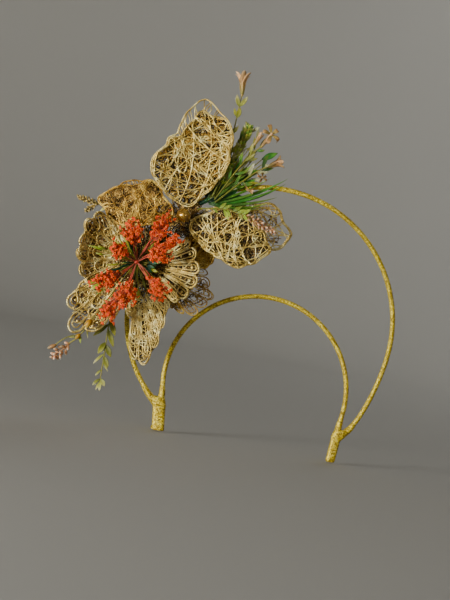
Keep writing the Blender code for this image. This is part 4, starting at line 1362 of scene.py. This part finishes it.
def star_flower(shape, centre, axis, radius, rng, petals=5):
    """An open flower of narrow petals that arch out from the middle and curl back."""
    axis = unit(axis)
    aside = unit(np.cross(axis, UP))
    above = np.cross(aside, axis)
    t = np.linspace(0, 1, 9)
    for i in range(petals):
        turn = math.tau * i / petals + rng.uniform(-0.2, 0.2)
        out = aside * math.cos(turn) + above * math.sin(turn)
        reach = radius * rng.uniform(0.85, 1.15)
        curl = rng.uniform(0.5, 0.95)
        line = centre + np.outer(reach * np.sin(t * 1.9), out)
        line = line + np.outer(radius * curl * (t - 1.6 * t**3), axis)
        shape.blade(line, leaf_width(9, radius * 0.24, 0.5), axis, 0.26, 0.3)
    shape.ball(centre + axis * 0.6, radius * 0.2, axis, radius * 0.26, 6, 8)


def stem_leaves(shape, stem, side, plan):
    """Leaves on a stem: the share of its length, the way each leans, its length, half width and finish."""
    for share, way, reach, wide, ink in plan:
        place, heading = at_length(stem, share)
        shape.ink = ink
        end = place + unit(heading + side * way) * reach + FRONT * 0.8
        leaf(shape, place, end, wide, side * way * 1.2 + FRONT * 0.6, FRONT, 0.35)


# Leaves on a stem: the share of its length, the way each leans, its length, half width and finish number.
TALL_LEAVES = [
    (0.88, -0.4, 11, 1.9, 2), (0.88, 0.5, 12, 1.9, 2), (0.77, 0.15, 9.5, 2.3, 1),
    (0.78, -0.5, 8, 1.3, 1), (0.3, -0.5, 11, 1.3, 1), (0.42, 0.5, 12, 1.3, 1),
    (0.55, -0.45, 11, 1.2, 1), (0.62, 0.4, 9, 1.2, 2),
]
OPEN_LEAVES = [
    (0.45, 0.7, 13, 1.4, 1), (0.6, -0.7, 12, 1.5, 1), (0.72, 0.8, 10, 1.4, 2), (0.8, -0.6, 11, 1.4, 2),
    (0.9, 0.7, 8, 1.3, 1), (0.34, -0.5, 12, 1.3, 1), (0.68, 0.2, 12, 1.2, 2),
]
SIDE_LILY_LEAVES = [
    (0.5, 0.8, 11, 1.6, 1), (0.66, -0.7, 13, 1.7, 2), (0.8, 0.6, 11, 1.5, 2), (0.9, -0.9, 13, 1.8, 1),
    (0.4, -0.6, 12, 1.4, 1),
]


def make_tall_lily(finishes):
    rng = np.random.default_rng(21)
    body = "tall_lily"
    stem = stem_line(body + "_stem", joint_place(body))
    shape = Shape()
    shape.tube(stem, np.linspace(0.75, 0.5, len(stem)), 7)
    stem_leaves(shape, stem, np.array([1.0, 0.0, 0.0]), TALL_LEAVES)
    stems = [finishes["stem"], finishes["olive"], finishes["pale_leaf"]]
    shape.piece("tall_lily_stem_leaves", stems, body, [body + "_stem"], "green_stem")
    base, mouth = flower_ends(body, stem)
    bloom = Shape()
    lily(bloom, base, mouth + unit(mouth - base) * 0.5, 8.6, rng, 6, 0.5, 1.0)
    bloom.piece("tall_lily_bloom", [finishes["lily"]], body, [body + "_flower"], "lily_petal")


def make_open_lily(finishes):
    rng = np.random.default_rng(22)
    body = "open_lily"
    stem = stem_line(body + "_stem", joint_place(body))
    shape = Shape()
    shape.tube(stem, np.linspace(0.8, 0.6, len(stem)), 7)
    side = np.array([0.8, 0.0, -0.6])
    stem_leaves(shape, stem, side, OPEN_LEAVES)
    place, heading = at_length(stem, 0.74)
    twig = bow(place, place + unit(heading - side * 0.3) * 14, side * -1.0, 8)
    shape.ink = 0
    shape.tube(twig, 0.55, 6)
    greens = [finishes["stem"], finishes["leaf"], finishes["pale_leaf"]]
    shape.piece("open_lily_stem_leaves", greens, body, [body + "_stem"], "green_stem")
    base, mouth = flower_ends(body, stem)
    bloom = Shape()
    throat = base + (mouth - base) * 0.75
    lily(bloom, base, throat, 2.0, rng, 5, 0.0, 2.4)
    star_flower(bloom, throat, unit(mouth - base) * 0.5 + FRONT, 8.2, rng)
    lily(bloom, twig[-1], twig[-1] + unit(heading - side * 0.2) * 12, 2.8, rng, 5, 0.0, 2.0)
    bloom.piece("open_lily_bloom", [finishes["lily"]], body, [body + "_flower"], "lily_petal")


def make_side_lily(finishes):
    rng = np.random.default_rng(23)
    body = "side_lily"
    stem = stem_line(body + "_stem", joint_place(body))
    shape = Shape()
    shape.tube(stem, np.linspace(0.8, 0.55, len(stem)), 7)
    side = np.array([0.6, 0.0, -0.8])
    stem_leaves(shape, stem, side, SIDE_LILY_LEAVES)
    greens = [finishes["stem"], finishes["leaf"], finishes["cream_leaf"]]
    shape.piece("side_lily_stem_leaves", greens, body, [body + "_stem"], "green_stem")
    base, mouth = flower_ends(body, stem)
    bloom = Shape()
    lily(bloom, base, mouth, 7.4, rng, 6, 0.5, 1.1)
    place, heading = at_length(stem, 0.8)
    small = place + side * 7 + FRONT * 1.5
    bloom.tube(bow(place, small, FRONT * 0.5, 5), 0.4, 5)
    star_flower(bloom, small + heading * 2, FRONT + heading * 0.5, 4.4, rng)
    place, heading = at_length(stem, 0.55)
    low = place + side * 9 + FRONT
    bloom.tube(bow(place, low, FRONT * 0.5, 5), 0.4, 5)
    lily(bloom, low, low + unit(side + heading) * 6, 3.0, rng, 5, 0.4, 1.4)
    bloom.piece("side_lily_bloom", [finishes["brown_lily"]], body, [body + "_flower"], "lily_petal")


def spike(shape, start, end, wide, count, rng, size):
    """A spike of small buds set all round an axis."""
    axis = unit(end - start)
    aside = unit(np.cross(axis, FRONT))
    length = np.linalg.norm(end - start)
    shape.tube(np.array([start, (start + end) / 2, end]), 0.5, 5)
    for i in range(count):
        share = (i + 0.5) / count
        turn = i * 2.4
        out = aside * math.cos(turn) + FRONT * math.sin(turn)
        bulge = math.sin(math.pi * min(1.0, share * 0.85 + 0.15)) ** 0.7
        place = start + axis * length * share
        tip = place + (out * 0.85 + axis * 0.55) * wide * bulge * rng.uniform(0.85, 1.1)
        shape.tube(np.array([place, (place + tip) / 2, tip]), 0.3, 4)
        shape.ball(tip, 1.0 * size, unit(tip - place), 1.9 * size, 6, 8)


def make_bud_sprig(body, seed, finishes, plan):
    """A sprig's stem and leaves: plan gives each leaf's place, side, length, half width and finish."""
    rng = np.random.default_rng(seed)
    stem = stem_line(body + "_stem", joint_place(body))
    points = cad_points(body + "_buds")
    far = np.linalg.norm(points - stem[-1], axis=1)
    end = points[np.argmax(far)]
    wide = np.linalg.norm(np.cross(points - stem[-1], unit(end - stem[-1])), axis=1).max()
    shape = Shape()
    shape.tube(np.vstack([stem, end[None] * 0.3 + stem[-1:] * 0.7]), 0.6, 6)
    for share, way, reach, half, ink in plan:
        place, heading = at_length(stem, share)
        side = unit(np.cross(heading, FRONT))
        shape.ink = ink
        leaf(shape, place, place + unit(heading * 0.8 + side * way) * reach, half, FRONT * 0.8, FRONT, 0.35)
    greens = [finishes["stem"], finishes["lime_leaf"], finishes["pale_leaf"]]
    return rng, stem, end, wide, shape, greens


PEACH_LEAVES = [
    (0.38, 0.8, 6, 1.1, 1), (0.5, -0.8, 8, 1.5, 1), (0.56, -0.5, 9, 1.4, 1), (0.58, 1.2, 11, 1.5, 1),
    (0.64, 0.9, 8, 1.3, 1), (0.76, -0.8, 9, 1.6, 1), (0.84, -0.5, 9, 1.6, 1), (0.88, 0.8, 7, 1.5, 2),
    (0.94, -0.8, 9, 1.7, 1), (0.97, 0.7, 7, 1.4, 1),
]
BUD_LEAVES = [
    (0.55, 0.8, 9, 1.5, 1), (0.62, -0.8, 8, 1.4, 1), (0.72, 0.9, 13, 0.6, 2), (0.8, -0.9, 10, 0.7, 2),
    (0.86, 0.9, 9, 0.6, 2), (0.92, -0.8, 8, 1.2, 1), (0.97, 0.9, 9, 0.6, 2),
]
HANGING_LEAVES = [
    (0.42, 0.6, 15, 2.6, 0), (0.46, -0.9, 17, 2.3, 0), (0.5, 0.5, 17, 2.4, 0), (0.62, -0.5, 12, 2.6, 0),
    (0.64, 0.6, 12, 2.6, 0), (0.72, -0.8, 13, 1.2, 1), (0.74, 0.5, 11, 2.4, 0), (0.8, 0.8, 9, 0.8, 1),
    (0.86, -0.7, 8, 1.0, 1), (0.94, -0.8, 9, 1.4, 1), (0.94, 0.8, 8, 2.0, 1), (0.96, 0.1, 9, 1.6, 1),
    (0.97, -0.3, 8, 1.0, 1),
]
SIDE_LEAVES = [(0.8, 0.8, 8, 1.2, 2), (0.88, -0.8, 9, 1.3, 2), (0.96, 0.8, 8, 1.2, 2)]


def make_sprigs(finishes):
    rng, stem, end, wide, shape, greens = make_bud_sprig("peach_sprig", 31, finishes, PEACH_LEAVES)
    shape.piece("peach_sprig_stem_leaves", greens, "peach_sprig", ["peach_sprig_stem"], "green_stem")
    buds = Shape()
    spike(buds, stem[-1], end, wide * 0.8, 30, rng, 1.0)
    buds.piece("peach_sprig_bud_spike", [finishes["bud"]], "peach_sprig", ["peach_sprig_buds"], "peach_bud")

    rng, stem, end, wide, shape, greens = make_bud_sprig("bud_sprig", 32, finishes, BUD_LEAVES)
    place, _ = at_length(stem, 0.93)
    out = unit(end - place + np.array([-4.0, 0.0, 4.5]))
    twig = bow(place, place + out * 23, np.array([-1.0, -1.0, 2.2]), 8)
    shape.ink = 0
    shape.tube(twig, 0.5, 5)
    shape.piece("bud_sprig_stem_leaves", greens, "bud_sprig", ["bud_sprig_stem"], "green_stem")
    buds = Shape()
    tip = end + (end - stem[-1]) * -0.08 + np.array([2.0, 0.0, -3.0])
    spike(buds, stem[-1] + (tip - stem[-1]) * 0.25, tip, wide * 0.9, 17, rng, 1.3)
    buds.ball(twig[-1] + out * 3.0, 1.8, out, 4.4, 8, 8)
    place, heading = at_length(stem, 0.97)
    buds.ink = 1
    buds.ball(place + FRONT * 2.0 + np.array([0.5, 0.0, 1.0]), 2.0, heading, 3.0, 8, 10)
    tones = [finishes["bud"], finishes["amber_bud"]]
    buds.piece("bud_sprig_bud_spike", tones, "bud_sprig", ["bud_sprig_buds"], "peach_bud")

    rng, stem, end, wide, shape, greens = make_bud_sprig("side_sprig", 33, finishes, SIDE_LEAVES)
    shape.piece("side_sprig_stem_leaves", greens, "side_sprig", ["side_sprig_stem"], "green_stem")
    buds = Shape()
    spike(buds, stem[-1], end, wide * 0.62, 30, rng, 0.95)
    low = stem[-1] + np.array([-11.0, 0.0, -8.0])
    spike(buds, stem[-1] + np.array([-3.0, 0.0, -1.0]), low, wide * 0.5, 16, rng, 0.9)
    buds.piece("side_sprig_bud_spike", [finishes["tan_bud"]], "side_sprig", ["side_sprig_buds"], "peach_bud")


def make_hanging_sprig(finishes):
    rng = np.random.default_rng(34)
    body = "hanging_sprig"
    stem = stem_line(body + "_stem", joint_place(body))
    points = cad_points(body + "_leaves")
    low = points[np.argmin(points[:, 2])]
    line = np.vstack([stem[0], stem[len(stem) // 2], stem[-1], (stem[-1] + low) / 2, low])
    line = smooth_line(line, 2.0)
    twig = Shape()
    twig.tube(line, np.linspace(0.8, 0.45, len(line)), 6)
    twig.piece("hanging_sprig_twig", [finishes["stem"]], body, [body + "_stem"], "green_stem")
    leaves = Shape()
    side = np.array([1.0, 0.0, 0.0])
    for share, way, reach, half, ink in HANGING_LEAVES:
        place, heading = at_length(line, share)
        leaves.ink = ink
        end = place + unit(heading + side * way) * reach + FRONT * rng.uniform(0, 1.5)
        leaf(leaves, place, end, half, FRONT * 0.8 + side * way * 0.8, FRONT, 0.35)
    greens = [finishes["olive"], finishes["pale_leaf"]]
    leaves.piece("hanging_sprig_leaf_set", greens, body, [body + "_leaves"], "green_leaf")


# ---------------------------------------------------------------- stage, lights and camera

def make_stage():
    """A pale floor that curves up into a round wall, open at the top."""
    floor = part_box("left_foot_tail")[0][2] / MM - FLOOR_GAP
    profile = [(1.0, floor), (STAGE_FLAT, floor)]
    bend = STAGE_RADIUS - STAGE_FILLET
    for i in range(13):
        angle = math.pi / 2 * i / 12
        profile.append((bend + STAGE_FILLET * math.sin(angle), floor + STAGE_FILLET * (1 - math.cos(angle))))
    profile.append((STAGE_RADIUS, floor + STAGE_HEIGHT))
    rings = lathe((0, 0, 0), UP, profile, 96)
    mesh = bpy.data.meshes.new("studio_floor")
    points = np.vstack(rings) * MM
    index = np.arange(len(points)).reshape(len(rings), -1)
    here, there = index[:-1], index[1:]
    quads = np.stack([here, there, np.roll(there, -1, 1), np.roll(here, -1, 1)], -1).reshape(-1, 4).tolist()
    quads.append(index[0].tolist())
    mesh.from_pydata(points, [], quads)
    mesh.materials.append(backdrop())
    mesh.shade_smooth()
    obj = bpy.data.objects.new("studio_floor", mesh)
    bpy.context.scene.collection.objects.link(obj)


def make_light(name, place, radius, watts, tint):
    light = bpy.data.lights.new(name, "POINT")
    light.shadow_soft_size = radius
    light.energy = watts
    light.color = tint
    obj = bpy.data.objects.new(name, light)
    bpy.context.scene.collection.objects.link(obj)
    obj.location = place
    obj.visible_camera = False


def make_lights():
    for name, place, radius, watts, tint in LIGHTS:
        make_light(name, place, radius, watts, tint)
    world = bpy.data.worlds.new("soft_world")
    world.use_nodes = True
    background = world.node_tree.nodes["Background"]
    background.inputs["Color"].default_value = WORLD_TINT
    background.inputs["Strength"].default_value = WORLD_STRENGTH
    bpy.context.scene.world = world


def make_camera():
    camera = bpy.data.cameras.new("photo_view")
    camera.lens = LENS
    camera.clip_end = 20.0
    obj = bpy.data.objects.new("photo_view", camera)
    bpy.context.scene.collection.objects.link(obj)
    c, s = math.cos(VIEW_ROLL), math.sin(VIEW_ROLL)
    turn = Matrix(((c, -s, 0.0), (0.0, 0.0, -1.0), (s, c, 0.0)))
    place = np.array(VIEW_CENTRE) + FRONT * VIEW_DISTANCE
    obj.matrix_world = Matrix.Translation(place * MM) @ turn.to_4x4()
    bpy.context.scene.camera = obj


finishes = make_finishes()
make_hoops(finishes)
make_feet(finishes)
make_bases(finishes)
make_flowers(finishes)
make_bead(finishes)
make_spray(finishes)
make_bunch(finishes)
make_fern(finishes)
make_tall_lily(finishes)
make_open_lily(finishes)
make_side_lily(finishes)
make_sprigs(finishes)
make_hanging_sprig(finishes)
make_stage()
make_lights()
make_camera()
